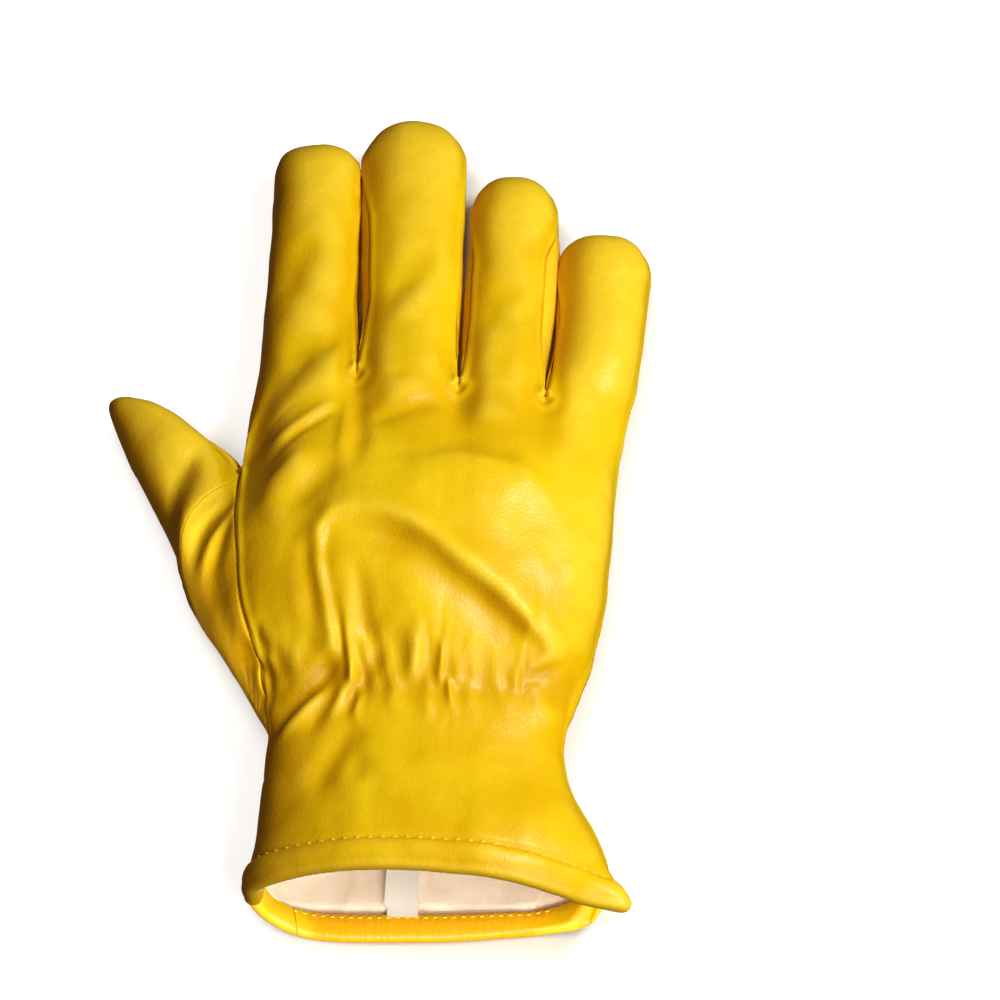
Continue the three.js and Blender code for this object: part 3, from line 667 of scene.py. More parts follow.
class Skin:
    """The outer surface as one welded mesh of quads and a few triangles, each with the piece that it is cut for."""

    def __init__(self) -> None:
        """Starts with nothing."""
        self.grids: list[Array] = []
        self.tags: list[Array] = []
        self.faces: list[Array] = []
        self.labels: list[Array] = []
        self.count = 0

    def add(self, grid: Array, tag: Array | None = None) -> Array:
        """Adds a grid of points and returns their numbers, in the grid's shape."""
        rows, columns = grid.shape[:2]
        numbers = self.count + np.arange(rows * columns).reshape(rows, columns)
        self.grids.append(grid.reshape(-1, 3))
        self.tags.append(np.zeros(rows * columns, int) if tag is None else tag.reshape(-1))
        self.count += rows * columns
        return numbers

    def strips(self, numbers: Array, labels: Array, turned: bool = False) -> None:
        """Adds the quads between a grid's rows.

        Args:
            numbers: the grid's point numbers, rows by columns.
            labels: the piece of each quad, one row and one column fewer.
            turned: whether the faces look the other way.
        """
        low, high = (numbers[1:], numbers[:-1]) if turned else (numbers[:-1], numbers[1:])
        quads = np.stack((low[:, :-1], low[:, 1:], high[:, 1:], high[:, :-1]), axis=-1)
        self.faces.append(quads.reshape(-1, 4))
        self.labels.append(np.broadcast_to(labels, quads.shape[:2]).reshape(-1))

    def weld(self) -> Array:
        """Makes one vertex of points closer than a micron with the same tag.

        Returns:
            The new number of each old point.
        """
        points = np.concatenate(self.grids)
        keys = np.column_stack((np.round(points * 1000).astype(np.int64), np.concatenate(self.tags)))
        _, first, back = np.unique(keys, axis=0, return_index=True, return_inverse=True)
        self.points = points[first]
        back = back.reshape(-1)
        self.quads = back[np.concatenate(self.faces)]
        self.piece = np.concatenate(self.labels)
        return back

    def normals(self, points: Array) -> Array:
        """Unit normals at the vertices, summed from the cross of the diagonals of the faces around each."""
        a, b, c, d = (points[self.quads[:, i]] for i in range(4))
        cross = np.cross(c - a, d - b)
        total = np.zeros_like(points)
        for i in range(4):
            np.add.at(total, self.quads[:, i], cross)
        return unit(total)

    def edges(self) -> tuple[Array, Array]:
        """Every directed edge of the faces, without those of no length, and the piece of its face."""
        pairs = np.concatenate([self.quads[:, [i, (i + 1) % 4]] for i in range(4)])
        labels = np.tile(self.piece, 4)
        real = pairs[:, 0] != pairs[:, 1]
        return pairs[real], labels[real]

    def seam_vertices(self, piece: Piece, mine: bool) -> Array:
        """The vertices on edges where two pieces meet.

        Args:
            piece: a piece.
            mine: whether the seams of that piece are wanted, or all the others.

        Returns:
            The vertices' numbers.
        """
        pairs, labels = self.edges()
        key = np.sort(pairs, axis=1)
        order = np.lexsort((key[:, 1], key[:, 0]))
        key, labels = key[order], labels[order]
        same = np.all(key[1:] == key[:-1], axis=1)
        number = PIECES.index(piece)
        chosen = ((labels[1:] == number) | (labels[:-1] == number)) == mine
        meets = same & (labels[1:] != labels[:-1]) & chosen
        return np.unique(key[1:][meets])

    def relax(self, values: Array, rounds: int) -> Array:
        """Values at the vertices, each round replaced by the mean of their neighbours' and their own."""
        pairs, _ = self.edges()
        for _ in range(rounds):
            total = values.copy()
            number = np.ones(len(values))
            for a, b in ((0, 1), (1, 0)):
                np.add.at(total, pairs[:, a], values[pairs[:, b]])
                np.add.at(number, pairs[:, a], 1)
            values = total / (number if values.ndim == 1 else number[:, None])
        return values


def eased(count: int, tight: float) -> Array:
    """Shares from 0 to 1 that crowd towards both ends: u less tight times the sine of a whole turn of u, over two
    pi."""
    u = np.linspace(0, 1, count + 1)
    return u - tight * np.sin(2 * np.pi * u) / (2 * np.pi)


@dataclass
class GloveSkin:
    """Works out the glove's outer surface: the hand's ring of columns, the five stalls and the turned hem."""

    sizes: HandSizes = field(default_factory=HandSizes)
    back_columns: tuple[int, ...] = (18, 34, 34, 28, 28)
    palm_columns: tuple[int, ...] = (14, 24, 22, 20, 24)
    wall_columns: int = 12
    body_rows: int = 132
    stall_rows: int = 60
    cap_rows: int = 18
    seam_tightness: float = 0.86
    roll_steps: int = 8

    def half_width(self, share: Array) -> Array:
        """Half the hand's width at a share of the palm's length, from the mouth over the wrist to the knuckles."""
        z = self.sizes
        narrow = lerp(z.mouth_width, z.wrist_width, smooth(share / 0.32))
        return lerp(narrow, z.palm_width, smooth((share - 0.36) / 0.5)) / 2

    def middle_height(self, share: Array) -> Array:
        """Height of the back along the middle of the hand."""
        z = self.sizes
        low = lerp(z.mouth_height, z.wrist_height, smooth((share - 0.06) / 0.28))
        high = lerp(low, z.hand_height, smooth((share - 0.38) / 0.24))
        return lerp(high, z.knuckle_height, smooth((share - 0.72) / 0.28))

    def mouth_y(self, angle: Array) -> Array:
        """Distance of the mouth's edge from the palm's own edge, at an angle round the section in radians."""
        return self.sizes.hem_depth * MOUTH_EDGE.at("y", angle / RAD)

    def from_crotches(self, points: Array) -> Array:
        """Distance of the skin's points from the nearest crotch between two stalls."""
        away = points[:, None] - points[self.roots][None]
        return np.sqrt(np.min(np.sum(away * away, axis=2), axis=1))

    def flap_depth(self, points: Array) -> Array:
        """How far the turned hem runs back up inside at places near the mouth: deep all over the back, shallower on
        the palm, and deep again at the palm's corner by the vent."""
        z = self.sizes
        right = OUTLINE.at("right", 0) * z.mouth_width / 2 + z.palm_shift
        below = 1 - smooth((points[..., 2] - 12) / 5)
        return lerp(z.back_flap, z.palm_flap, below) + z.corner_flap * below * bell((right - points[..., 0] - 6) / 8)

    def crotch_dip(self, stops: tuple[Stop, ...], x: Array, y: Array) -> Array:
        """How deep the leather sinks towards the crotches: a bell across each stop, growing towards the root."""
        z = self.sizes
        total = np.zeros_like(x)
        for stop in stops:
            reach = smooth((y / z.palm_length - stop.y) / 0.16 + 1)
            total += stop.dip * reach * bell((x / (z.palm_width / 2) - stop.x) / stop.spread)
        return total

    def hand_points(self, angle: Array, y: Array) -> Array:
        """Points of the hand: each section is a superellipse from the outer side over the back and round the palm.

        Args:
            angle: radians round the section.
            y: distances from the mouth.

        Returns:
            The points, in the arguments' shape with one more axis.
        """
        z = self.sizes
        over = angle <= math.pi
        share = y / z.palm_length
        across = (1 + np.cos(angle)) / 2
        x = lerp(OUTLINE.at("left", share), OUTLINE.at("right", share), across) * self.half_width(share)
        power = PROFILE.at("round", share) + np.where(over, 0, 1.2)
        rise = np.power(np.maximum(0, 1 - np.power(np.abs(np.cos(angle)), power)), 1 / power)
        side = PROFILE.at("side", share) * z.side_height
        floor = PROFILE.at("lift", share) * z.wrist_height - z.sheet_flat
        back = lerp(side, self.middle_height(share), rise) - z.knuckle_dip * rise * self.crotch_dip(BACK_STOPS, x, y)
        palm = lerp(side, floor, rise) + z.knuckle_dip * rise * self.crotch_dip(PALM_STOPS, x, y)
        return np.stack((x, y, np.where(over, back, palm)), axis=-1)

    def track(self, stops: tuple[Stop, ...], k: int, over: bool) -> Table:
        """The angle of a stop's line round the section, in degrees, from the mouth to the root."""
        z, stop = self.sizes, stops[k]
        left, right = (OUTLINE.at(side, stop.y) * self.half_width(stop.y) for side in ("left", "right"))
        cos = np.clip(2 * (stop.x * z.palm_width / 2 - left) / (right - left) - 1, -1, 1)
        inner = math.degrees(math.acos(cos))
        end = inner if over else 360 - inner
        if k == 0:
            end = 180
        if k == len(stops) - 1:
            end = 0 if over else 360
        return Table(
            "at angle",
            (0, stop.mouth),
            (z.wrist_share, stop.wrist),
            (min(z.ball_share, stop.y - 0.08), stop.ball),
            (stop.y, end),
        )

    def ring(self, stops: tuple[Stop, ...], counts: tuple[int, ...], over: bool) -> dict[str, Array]:
        """The columns of the back or the palm, each with its segment, its share across it and its root.

        Args:
            stops: the stops that part the segments.
            counts: columns in each segment.
            over: whether it is the back.

        Returns:
            Arrays named segment, share and root, one value for each column.
        """
        z = self.sizes
        segment, share, root = [], [], []
        for k, count in enumerate(counts):
            t = eased(count, self.seam_tightness)
            t = t if k + 1 == len(counts) else t[:-1]
            seamed = not over and FRONTS[k] in (Piece.MIDDLE_FRONT, Piece.RING_FRONT)
            sag = z.front_seam_sag * np.sin(np.pi * t) if seamed else 0
            segment.append(np.full(len(t), k))
            share.append(t)
            root.append((lerp(stops[k].y, stops[k + 1].y, t) - sag) * z.palm_length)
        return {"segment": np.concatenate(segment), "share": np.concatenate(share), "root": np.concatenate(root)}

    def angles(self, stops: tuple[Stop, ...], ring: dict[str, Array], over: bool, y: Array) -> Array:
        """Angles of the columns at distances from the mouth, in radians, between the lines of their two stops."""
        tracks = [self.track(stops, k, over) for k in range(len(stops))]
        angle = np.zeros_like(y)
        for k in range(len(stops) - 1):
            mine = ring["segment"] == k
            share = y[:, mine] / self.sizes.palm_length
            angle[:, mine] = lerp(tracks[k].at("angle", share), tracks[k + 1].at("angle", share), ring["share"][mine])
        return angle * RAD

    def hem_rows(self) -> Array:
        """Distances of the first rows from the mouth, close together at the edge and at the stitch line."""
        depth = self.sizes.back_stitches
        shares = [0, 0.08, 0.18, 0.3, 0.44, 0.58, 0.7, 0.8, 0.88, 0.94, 1, 1.06, 1.12, 1.2, 1.32, 1.48, 1.66]
        return np.array(shares) * depth

    def hand_grid(self, stops: tuple[Stop, ...], ring: dict[str, Array], over: bool) -> tuple[Array, Array]:
        """The grid of points from the mouth to the root.

        Returns:
            The points, rows by columns by 3, and the angles.
        """
        zero = np.zeros((1, len(ring["root"])))
        start = self.mouth_y(self.angles(stops, ring, over, zero))
        hem = self.hem_rows()[:, None]
        u = np.linspace(0, 1, self.body_rows + 1)[1:, None]
        ease = u + 0.5 * smooth((u - 0.9) / 0.1) * (1 - u) * u
        near = start + hem
        far = near[-1:] + (ring["root"] - near[-1:]) * ease
        y = np.concatenate((near, far))
        angle = self.angles(stops, ring, over, y)
        if not over:
            opened = smooth(1 - y / self.vent_top)
            angle = angle - self.sizes.palm_trim * RAD * opened * smooth((angle / RAD - 260) / 100)
        return self.hand_points(angle, y), angle

    def crotch(self, top: Array, bottom: Array) -> Array:
        """The line from the back down to the palm between two stalls, bowed towards the fingertips below the top."""
        t = eased(self.wall_columns, self.seam_tightness)[:, None]
        line = lerp(top, bottom, t)
        line[:, 1] += self.sizes.crotch_bow * np.sin(np.pi * np.power(t[:, 0], 0.7))
        return line

    def side_line(self, k: int, side: int) -> tuple[Array, Array, Array]:
        """Plan places of a stall's outline on one side, from its root to its tip.

        Args:
            k: the stall's place among the five.
            side: 1 for the right and -1 for the left.

        Returns:
            Distances along the stall, and the x and y of its side there.
        """
        z, stall = self.sizes, STALLS[k]
        share = np.linspace(0, 1, 40)
        into = np.clip((share - 1 + stall.cap) / stall.cap, 0, 1)
        narrow = np.power(1 - np.power(into, stall.square), 1 / stall.square)
        half = stall.width * z.palm_width / 2
        away = half * (stall.widths.at("shift", share) + side * narrow * stall.widths.at("half", share))
        sin, cos = math.sin(stall.heading * RAD), math.cos(stall.heading * RAD)
        s = share * stall.length
        return s, stall.x * z.palm_width / 2 - sin * s + cos * away, stall.y * z.palm_length + cos * s + sin * away

    def bulges(self, k: int) -> list[tuple[Array, Array]]:
        """How far each side wall of a stall bulges towards its neighbour: a share of half the gap between them.

        Args:
            k: the stall's place among the five.

        Returns:
            For the right and the left, the distances along the stall and the bulge there.
        """
        found = []
        for side in (1, -1):
            s, x, y = self.side_line(k, side)
            other = k + side
            if min(k, other) < 1 or other >= len(STALLS):
                found.append((s, 0 * s))
                continue
            _, other_x, other_y = self.side_line(other, -side)
            gap = side * (np.interp(y, other_y, other_x) - x)
            low, high = max(y[0], other_y[0]), min(y[-1], other_y[-1])
            closed = GAPS_CLOSED[min(k, other)].at("closed", (y - low) / (high - low))
            found.append((s, np.clip(gap / 2 - 0.1, 0, 4) * closed))
        return found

    def stall(self, skin: Skin, k: int, roots: dict[str, Array]) -> Array:
        """Adds one stall: a tube of superelliptic sections along its axis, whose first rows melt into the hand.

        Args:
            skin: what it is added to.
            k: the stall's place among the five.
            roots: the hand's root rows, named back and palm.

        Returns:
            The numbers of the stall's points, rows by columns.
        """
        z, stall = self.sizes, STALLS[k]
        width, height = stall.width * z.palm_width, stall.height * z.knuckle_height
        heading = stall.heading * RAD
        axis = np.array([-math.sin(heading), math.cos(heading), 0.0])
        lateral = np.array([axis[1], -axis[0], 0.0])
        base = np.array([stall.x * z.palm_width / 2, stall.y * z.palm_length, 0.0])
        back_from, palm_from = sum(self.back_columns[:k]), sum(self.palm_columns[:k])
        top = roots["back"][back_from : back_from + self.back_columns[k] + 1]
        bottom = roots["palm"][palm_from : palm_from + self.palm_columns[k] + 1]
        left_wall, right_wall = k > 0, k < len(STALLS) - 1
        start_cap = 1 - stall.cap

        def seam(share: Array, side: int) -> Array:
            """Angle of a side's two seams above and below the side, closing in on each other towards the tip."""
            return stall.seams[side] * RAD * lerp(1, 0.12, smooth((share - start_cap * 0.7) / (0.36 * start_cap)))

        bulges = self.bulges(k)

        def section(theta: Array, s: Array, bulging: Array | float) -> Array:
            """Points round the tube at distances along it, its outline narrowing to the tip."""
            share = s / stall.length
            into = np.clip((share - start_cap) / stall.cap, 0, 1)
            narrow = np.power(np.maximum(0, 1 - np.power(into, stall.square)), 1 / stall.square)
            low = np.power(np.maximum(0, 1 - np.power(into, 2.2)), 1 / 2.2)
            half = stall.widths.at("half", share) * width / 2 * narrow
            shift = stall.widths.at("shift", share) * width / 2
            top_z = STALL_HEIGHTS.at("top", share) * height
            middle, tall = (top_z - z.sheet_flat) / 2, (top_z + z.sheet_flat) / 2 * low
            aside = np.sign(np.cos(theta)) * np.power(np.abs(np.cos(theta)), 2 / 2.4)
            right, left = (np.interp(s, *bulge) for bulge in bulges)
            half = half + bulging * np.where(np.cos(theta) > 0, right, left) * np.power(np.abs(np.cos(theta)), 3)
            up = np.sign(np.sin(theta)) * np.power(np.abs(np.sin(theta)), 2 / 2.4)
            points = base + s[..., None] * axis + (shift + half * aside)[..., None] * lateral
            points[..., 2] = middle + tall * up
            return points

        # Each column has its root, the two ends of its angle's range and its share between them.
        arcs = [(top, "top", eased(len(top) - 1, self.seam_tightness))]
        wall = eased(self.wall_columns, self.seam_tightness)
        if right_wall:
            arcs.append((self.crotch(top[-1], bottom[-1])[1:], "right", wall[1:]))
        arcs.append((bottom[::-1][1:], "bottom", eased(len(bottom) - 1, self.seam_tightness)[1:]))
        if left_wall:
            arcs.append((self.crotch(top[0], bottom[0])[::-1][1:], "left", wall[1:]))
        root = np.concatenate([arc[0] for arc in arcs])
        kind = np.concatenate([np.full(len(arc[0]), arc[1]) for arc in arcs])
        t = np.concatenate([arc[2] for arc in arcs])

        def theta(share: Array) -> Array:
            """Angle of every column at the shares along the stall, rows by columns."""
            left, right = seam(share, 0), seam(share, 1)
            left, right = (left if left_wall else 0 * left), (right if right_wall else 0 * right)
            ranges = {
                "top": (math.pi - left, right),
                "right": (right, -0.8 * right),
                "bottom": (-0.8 * right, 0.8 * left - math.pi),
                "left": (0.8 * left - math.pi, -left - math.pi),
            }
            angle = np.zeros_like(share)
            for name, (a, b) in ranges.items():
                mine = kind == name
                angle[:, mine] = lerp(a[:, mine], b[:, mine], t[mine])
            return angle

        u = np.linspace(0, 1, self.stall_rows + 1)[:-1]
        rising = (u - 0.5 * (1 - smooth(u / 0.12)) * u) * start_cap
        ending = start_cap + stall.cap * np.sin(np.linspace(0, 1, self.cap_rows + 1) * math.pi / 2)
        w = np.concatenate((rising, ending))[:, None]
        begin = ((root - base) @ axis)[None]
        s = lerp(begin, stall.length, w)
        rest = section(theta(begin / stall.length), begin, 0.0)
        pull = root[None] - rest
        fade = 1 - smooth((s - begin) / (z.blend_share * stall.length))
        points = section(theta(s / stall.length), s, 1 - fade) + pull * fade[..., None]
        points[0] = root
        numbers = skin.add(points)
        labels = np.full((len(w) - 1, len(root) - 1), PIECES.index(Piece.BACK))
        column = kind[1:]
        front = PIECES.index(FRONTS[k])
        labels[:, column == "bottom"] = front
        if k == 0:
            labels[:] = front
        # The forks run from the crotch to where the cap begins. Past it the back and the front meet on the side.
        fork_rows = np.arange(len(w) - 1)[:, None] < self.stall_rows + 2
        high = (t[1:] <= 0.501)[None]
        for side, fork, upper in (("right", FORKS[k], high), ("left", FORKS[k - 1] if k > 1 else None, ~high)):
            mine = column == side
            if k == 0 or not mine.any():
                continue
            ends = np.where(upper[:, mine], PIECES.index(Piece.BACK), front)
            forked = fork_rows & (fork is not None)
            labels[:, mine] = np.where(forked, PIECES.index(fork) if fork else 0, ends)
        skin.strips(numbers, labels)
        return numbers

    def build(self) -> None:
        """Makes the calm skin: hand and stalls, without folds, flare or hem."""
        skin = Skin()
        self.skin = skin
        back = self.ring(BACK_STOPS, self.back_columns, True)
        palm = self.ring(PALM_STOPS, self.palm_columns, False)
        back_grid, back_angle = self.hand_grid(BACK_STOPS, back, True)
        vent_top = self.sizes.vent_length + back_grid[0, -1, 1]
        self.vent_top = vent_top
        palm_grid, palm_angle = self.hand_grid(PALM_STOPS, palm, False)
        palm_grid[:, 0] = back_grid[:, 0]
        closed = back_grid[:, -1, 1] >= vent_top
        palm_grid[closed, -1] = back_grid[closed, -1]
        tag = np.zeros(back_grid.shape[:2], int)
        tag[:, -1] = back_grid[:, -1, 1] < vent_top
        back_numbers = skin.add(back_grid, tag)
        palm_numbers = skin.add(palm_grid)
        back_label = np.where(back["segment"][:-1] == 0, PIECES.index(Piece.PALM), PIECES.index(Piece.BACK))
        skin.strips(back_numbers, back_label[None])
        skin.strips(palm_numbers, np.array([[PIECES.index(Piece.PALM)]]), turned=True)
        roots = {"back": back_grid[-1], "palm": palm_grid[-1]}
        stalls = [self.stall(skin, k, roots) for k in range(len(STALLS))]
        weld = skin.weld()
        self.back_numbers, self.palm_numbers = weld[back_numbers], weld[palm_numbers]
        self.stall_numbers = [weld[numbers] for numbers in stalls]
        self.back_angle, self.palm_angle = back_angle, palm_angle
        self.calm = skin.points.copy()
        self.calm[:, 2] *= 1 - Relief(self).fold(self.calm[:, :2], THUMB_SINK)
        self.calm_normals = skin.normals(self.calm)
        self.roots = self.back_numbers[-1, np.cumsum(self.back_columns)[:-1]]
        self.relieved = self.calm + self.calm_normals * Relief(self).heights()[:, None]
        self.relieved[:, 2] = np.maximum(self.relieved[:, 2], 0)
        self.ring_numbers = np.concatenate((self.back_numbers, self.palm_numbers[:, -2:0:-1]), axis=1)


class Relief:
    """Folds, gathers and wrinkles of the leather, as heights along the calm skin's normals."""

    def __init__(self, glove: GloveSkin) -> None:
        """Keeps the glove's skin and makes its noise."""
        self.crotch_calm = 6.0
        self.glove = glove
        self.noise = Noise(11)

    def fold(self, places: Array, fold: Fold) -> Array:
        """Height of one fold: a bell across its line, wider on one side than the other, tapered at both ends."""
        z = self.glove.sizes
        path = rounded_path(np.array(fold.path) * (z.palm_width / 2, z.palm_length))
        reach = 3 * max(fold.left, fold.right)
        near = np.all((places > path.min(axis=0) - reach) & (places < path.max(axis=0) + reach), axis=1)
        height = np.zeros(len(places))
        away, share = line_field(places[near], path)
        wide = np.where(away > 0, fold.left, fold.right)
        taper = smooth((share + 0.02) / fold.rise) * smooth((1.02 - share) / fold.fade)
        height[near] = fold.height * taper * bell(away / wide)
        return height

    def ribs(self, places: Array) -> Array:
        """The elastic's groove and the pleats that it draws up above and below itself."""
        z = self.glove.sizes
        half, gather = z.palm_width / 2, z.gather_line / z.palm_length
        total = -z.elastic_depth * bell((places[:, 1] - z.gather_line) / (0.045 * z.palm_length))
        for rib in RIBS:
            ahead = math.copysign(1.0, rib.length)
            end = gather + rib.length / z.palm_length
            path = tuple((rib.x + rib.lean * t, lerp(gather - 0.012 * ahead, end, t)) for t in (0, 0.4, 1))
            total += self.fold(places, Fold("rib", rib.height, rib.width, rib.width, path, 0.2, 0.75))
        return total

    def heights(self) -> Array:
        """Height of all relief but the seams' own at every vertex."""
        calm, normals = self.glove.calm, self.glove.calm_normals
        z = self.glove.sizes
        places = calm[:, :2]
        up = smooth((normals[:, 2] + 0.1) / 0.5)
        total = self.ribs(places)
        for fold in FOLDS:
            total += self.fold(places, fold)
        total = self.glove.skin.relax(total, 1) * up
        self.glove.fold_heights = total
        soft = 0.8 * self.noise.at(calm, (22, 30, 26)) + 0.42 * self.noise.at(calm + 60, (10, 15, 12))
        small = 0.12 * self.noise.at(calm + 120, (4.5, 6, 5))
        calmer = smooth(calm[:, 2] / 3) * 0.8 + 0.2
        gathered = bell((calm[:, 1] - z.gather_line - 4) / 16) * up
        pucker = 0.4 * gathered * self.noise.at(calm + 200, (2.6, 8, 5))
        near_crotch = bell(self.glove.from_crotches(calm) / self.crotch_calm)
        return (total + soft * calmer + small + pucker) * (1 - near_crotch)


# ---- making objects ----
@dataclass
class Wall:
    """Cuts one piece out of the skin and gives it its wall."""

    points: Array
    normals: Array
    quads: Array
    thickness: Array | float
    gap: float

    def mesh(self) -> tuple[Array, Array, Array]:
        """The closed wall: outer faces, the same faces moved inwards, and the rim, drawn back by half the gap.

        Returns:
            Points, faces (quads whose third and fourth corners are one where they are triangles) and the outer
            vertex that each point belongs to.
        """
        used, inverse = np.unique(self.quads, return_inverse=True)
        quads = inverse.reshape(-1, 4)
        count = len(used)
        points, normals = self.points[used].copy(), self.normals[used]
        pairs = np.concatenate([quads[:, [i, (i + 1) % 4]] for i in range(4)])
        pairs = pairs[pairs[:, 0] != pairs[:, 1]]
        code = pairs[:, 0].astype(np.int64) * count + pairs[:, 1]
        opposite = pairs[:, 1].astype(np.int64) * count + pairs[:, 0]
        rim = pairs[~np.isin(code, opposite)]
        inward = np.zeros_like(points)
        centre = points[quads].mean(axis=1)
        for i in range(4):
            np.add.at(inward, quads[:, i], unit(centre - points[quads[:, i]]))
        along = np.zeros_like(points)
        step = unit(points[rim[:, 1]] - points[rim[:, 0]])
        np.add.at(along, rim[:, 0], step)
        np.add.at(along, rim[:, 1], step)
        on_rim = np.zeros(count, bool)
        on_rim[rim.ravel()] = True
        aside = unit(np.cross(along, normals))
        aside *= np.sign(np.sum(aside * inward, axis=1, keepdims=True))
        points[on_rim] += aside[on_rim] * self.gap / 2
        depth = self.thickness[used][:, None] if isinstance(self.thickness, np.ndarray) else self.thickness
        inner = points - normals * depth
        faces = np.concatenate((quads, quads[:, ::-1] + count))
        walls = np.column_stack((rim[:, 1], rim[:, 0], rim[:, 0] + count, rim[:, 1] + count))
        return np.concatenate((points, inner)), np.concatenate((faces, walls)), np.concatenate((used, used))


def clean_faces(faces: Array) -> list[list[int]]:
    """Faces as lists of corners, with corners that repeat left out."""
    same = faces == np.roll(faces, 1, axis=1)
    plain = faces[~same.any(axis=1)].tolist()
    odd = [[c for c, twice in zip(face, flags) if not twice] for face, flags in zip(faces[same.any(axis=1)].tolist(), same[same.any(axis=1)].tolist())]
    return plain + [face for face in odd if len(face) > 2]


def make_object(name: str, points: Array, faces: Array, material: bpy.types.Material) -> bpy.types.Object:
    """Makes a smooth-shaded object from points in millimetres.

    Args:
        name: the object's name.
        points: n by 3, y counted from the mouth.
        faces: m by 4 or 3.
        material: its finish.

    Returns:
        The object, in the scene.
    """
    placed = (points - (0, HandSizes().rest_distance, 0)) / 1000
    mesh = bpy.data.meshes.new(name)
    mesh.from_pydata(placed.tolist(), [], clean_faces(faces))
    mesh.polygons.foreach_set("use_smooth", np.ones(len(mesh.polygons), bool))
    mesh.set_sharp_from_angle(angle=55 * RAD)
    mesh.materials.append(material)
    mesh.validate()
    mesh.update()
    piece = bpy.data.objects.new(name, mesh)
    bpy.context.scene.collection.objects.link(piece)
    return piece


def set_attribute(piece: bpy.types.Object, name: str, values: Array) -> None:
    """Stores one number for each vertex under a name that materials read."""
    attribute = piece.data.attributes.new(name, "FLOAT", "POINT")
    attribute.data.foreach_set("value", values.astype(np.float32))


# ---- finishes ----
@dataclass(frozen=True)
class LeatherFinish:
    """Smooth golden-yellow full grain."""

    name: str = "grain_leather"
    light: tuple[float, float, float] = (0.93, 0.65, 0.006)
    deep: tuple[float, float, float] = (0.84, 0.51, 0.001)
    # Painted shade: the darker colour that creases and fold valleys are painted with.
    crease: tuple[float, float, float] = (0.66, 0.36, 0.001)
    # Painted highlight: the paler yellow that crests and fold ridges are painted with.
    crest: tuple[float, float, float] = (1.0, 0.70, 0.03)
    # Painted shade: the deeper orange-brown that left-facing sides are painted with.
    tan: tuple[float, float, float] = (0.66, 0.30, 0.001)
    amber: tuple[float, float, float] = (0.93, 0.45, 0.005)
    roughness: float = 0.34

    def material(self) -> bpy.types.Material:
        """Mixes two yellows by soft noise, adds painted shade in creases and on left-facing sides and a painted
        highlight on crests, and raises a fine grain with pores.
        """
        make = Shader(self.name)
        place = make.node("ShaderNodeTexCoord").outputs["Object"]
        cloudy = make.noise(place, 28, 3, 0.55)
        fine = make.noise(place, 260, 4, 0.6)
        tone = make.mix(make.ramp(cloudy, 0.36, 0.66), self.light, self.deep)
        # Painted shade: creases and fold valleys are coloured darker.
        crease = make.attribute("crease")
        tone = make.mix(make.math("MULTIPLY", make.ramp(crease, 0.08, 0.9), 0.85), tone, self.crease)
        # Painted highlight: crests and fold ridges are coloured paler.
        tone = make.mix(make.ramp(make.attribute("crest"), 0.22, 1.0), tone, self.crest)
        # Painted shade: sides that face left, away from the key light, are coloured deeper.
        tone = make.mix(make.math("MULTIPLY", make.attribute("tan"), 0.8), tone, self.tan)
        tone = make.mix(make.attribute("amber"), tone, self.amber)
        speck = make.ramp(fine, 0.3, 0.75)
        tone = make.mix(make.math("MULTIPLY", speck, 0.3), tone, self.deep)
        make.set("Base Color", tone)
        rough = make.math("MULTIPLY_ADD", fine, 0.16, self.roughness - 0.08)
        make.set("Roughness", rough)
        make.set("Specular IOR Level", 0.3)
        grain = make.voronoi(place, 1050, "SMOOTH_F1")
        pores = make.noise(place, 2400, 2, 0.5)
        creases = make.noise(place, 420, 5, 0.65)
        height = make.math("ADD", make.math("MULTIPLY", grain, 0.55), make.math("MULTIPLY", pores, 0.25))
        patches = make.ramp(make.noise(place, 45, 2, 0.5), 0.45, 0.7)
        wrinkled = make.math("MULTIPLY", creases, make.math("MULTIPLY_ADD", patches, 1.1, 0.35))
        height = make.math("ADD", height, wrinkled)
        across = make.noise(make.stretched(place, (1.0, 0.12, 0.12)), 700, 3, 0.6)
        wrinkles = make.math("MULTIPLY", make.attribute("amber"), make.math("MULTIPLY", across, 3.5))
        height = make.math("ADD", height, wrinkles)
        make.bump(height, 0.25, 0.0005)
        return make.material


@dataclass(frozen=True)
class LiningFinish:
    """Matt cream brushed cotton."""

    name: str = "lining_cloth"
    cream: tuple[float, float, float] = (0.92, 0.80, 0.66)
    shade: tuple[float, float, float] = (0.82, 0.66, 0.50)

    def material(self) -> bpy.types.Material:
        """A fine plain weave over soft, uneven dyeing, with the sheen of brushed cotton."""
        make = Shader(self.name)
        place = make.node("ShaderNodeTexCoord").outputs["Object"]
        cloudy = make.noise(place, 60, 4, 0.6)
        tone = make.mix(make.ramp(cloudy, 0.35, 0.75), self.cream, self.shade)
        weave = make.weave(place, 900)
        tone = make.mix(make.math("MULTIPLY", weave, 0.25), tone, self.shade)
        make.set("Base Color", tone)
        make.set("Roughness", 0.95)
        make.set("Specular IOR Level", 0.2)
        make.set("Sheen Weight", 0.3)
        make.set("Sheen Roughness", 0.5)
        fuzz = make.noise(place, 900, 4, 0.7)
        height = make.math("ADD", weave, make.math("MULTIPLY", fuzz, 0.8))
        make.bump(height, 0.4, 0.0003)
        return make.material


@dataclass(frozen=True)
class TapeFinish:
    """Bare white satin tape."""

    name: str = "label_tape"
    white: tuple[float, float, float] = (0.76, 0.73, 0.68)
    shade: tuple[float, float, float] = (0.60, 0.57, 0.52)

    def material(self) -> bpy.types.Material:
        """Fine close ribs with a satin gloss."""
        make = Shader(self.name)
        place = make.node("ShaderNodeTexCoord").outputs["Object"]
        weave = make.weave(place, 2200)
        make.set("Base Color", make.mix(make.math("MULTIPLY", weave, 0.5), self.white, self.shade))
        make.set("Roughness", 0.5)
        make.set("Sheen Weight", 0.2)
        make.bump(weave, 0.2, 0.0001)
        return make.material


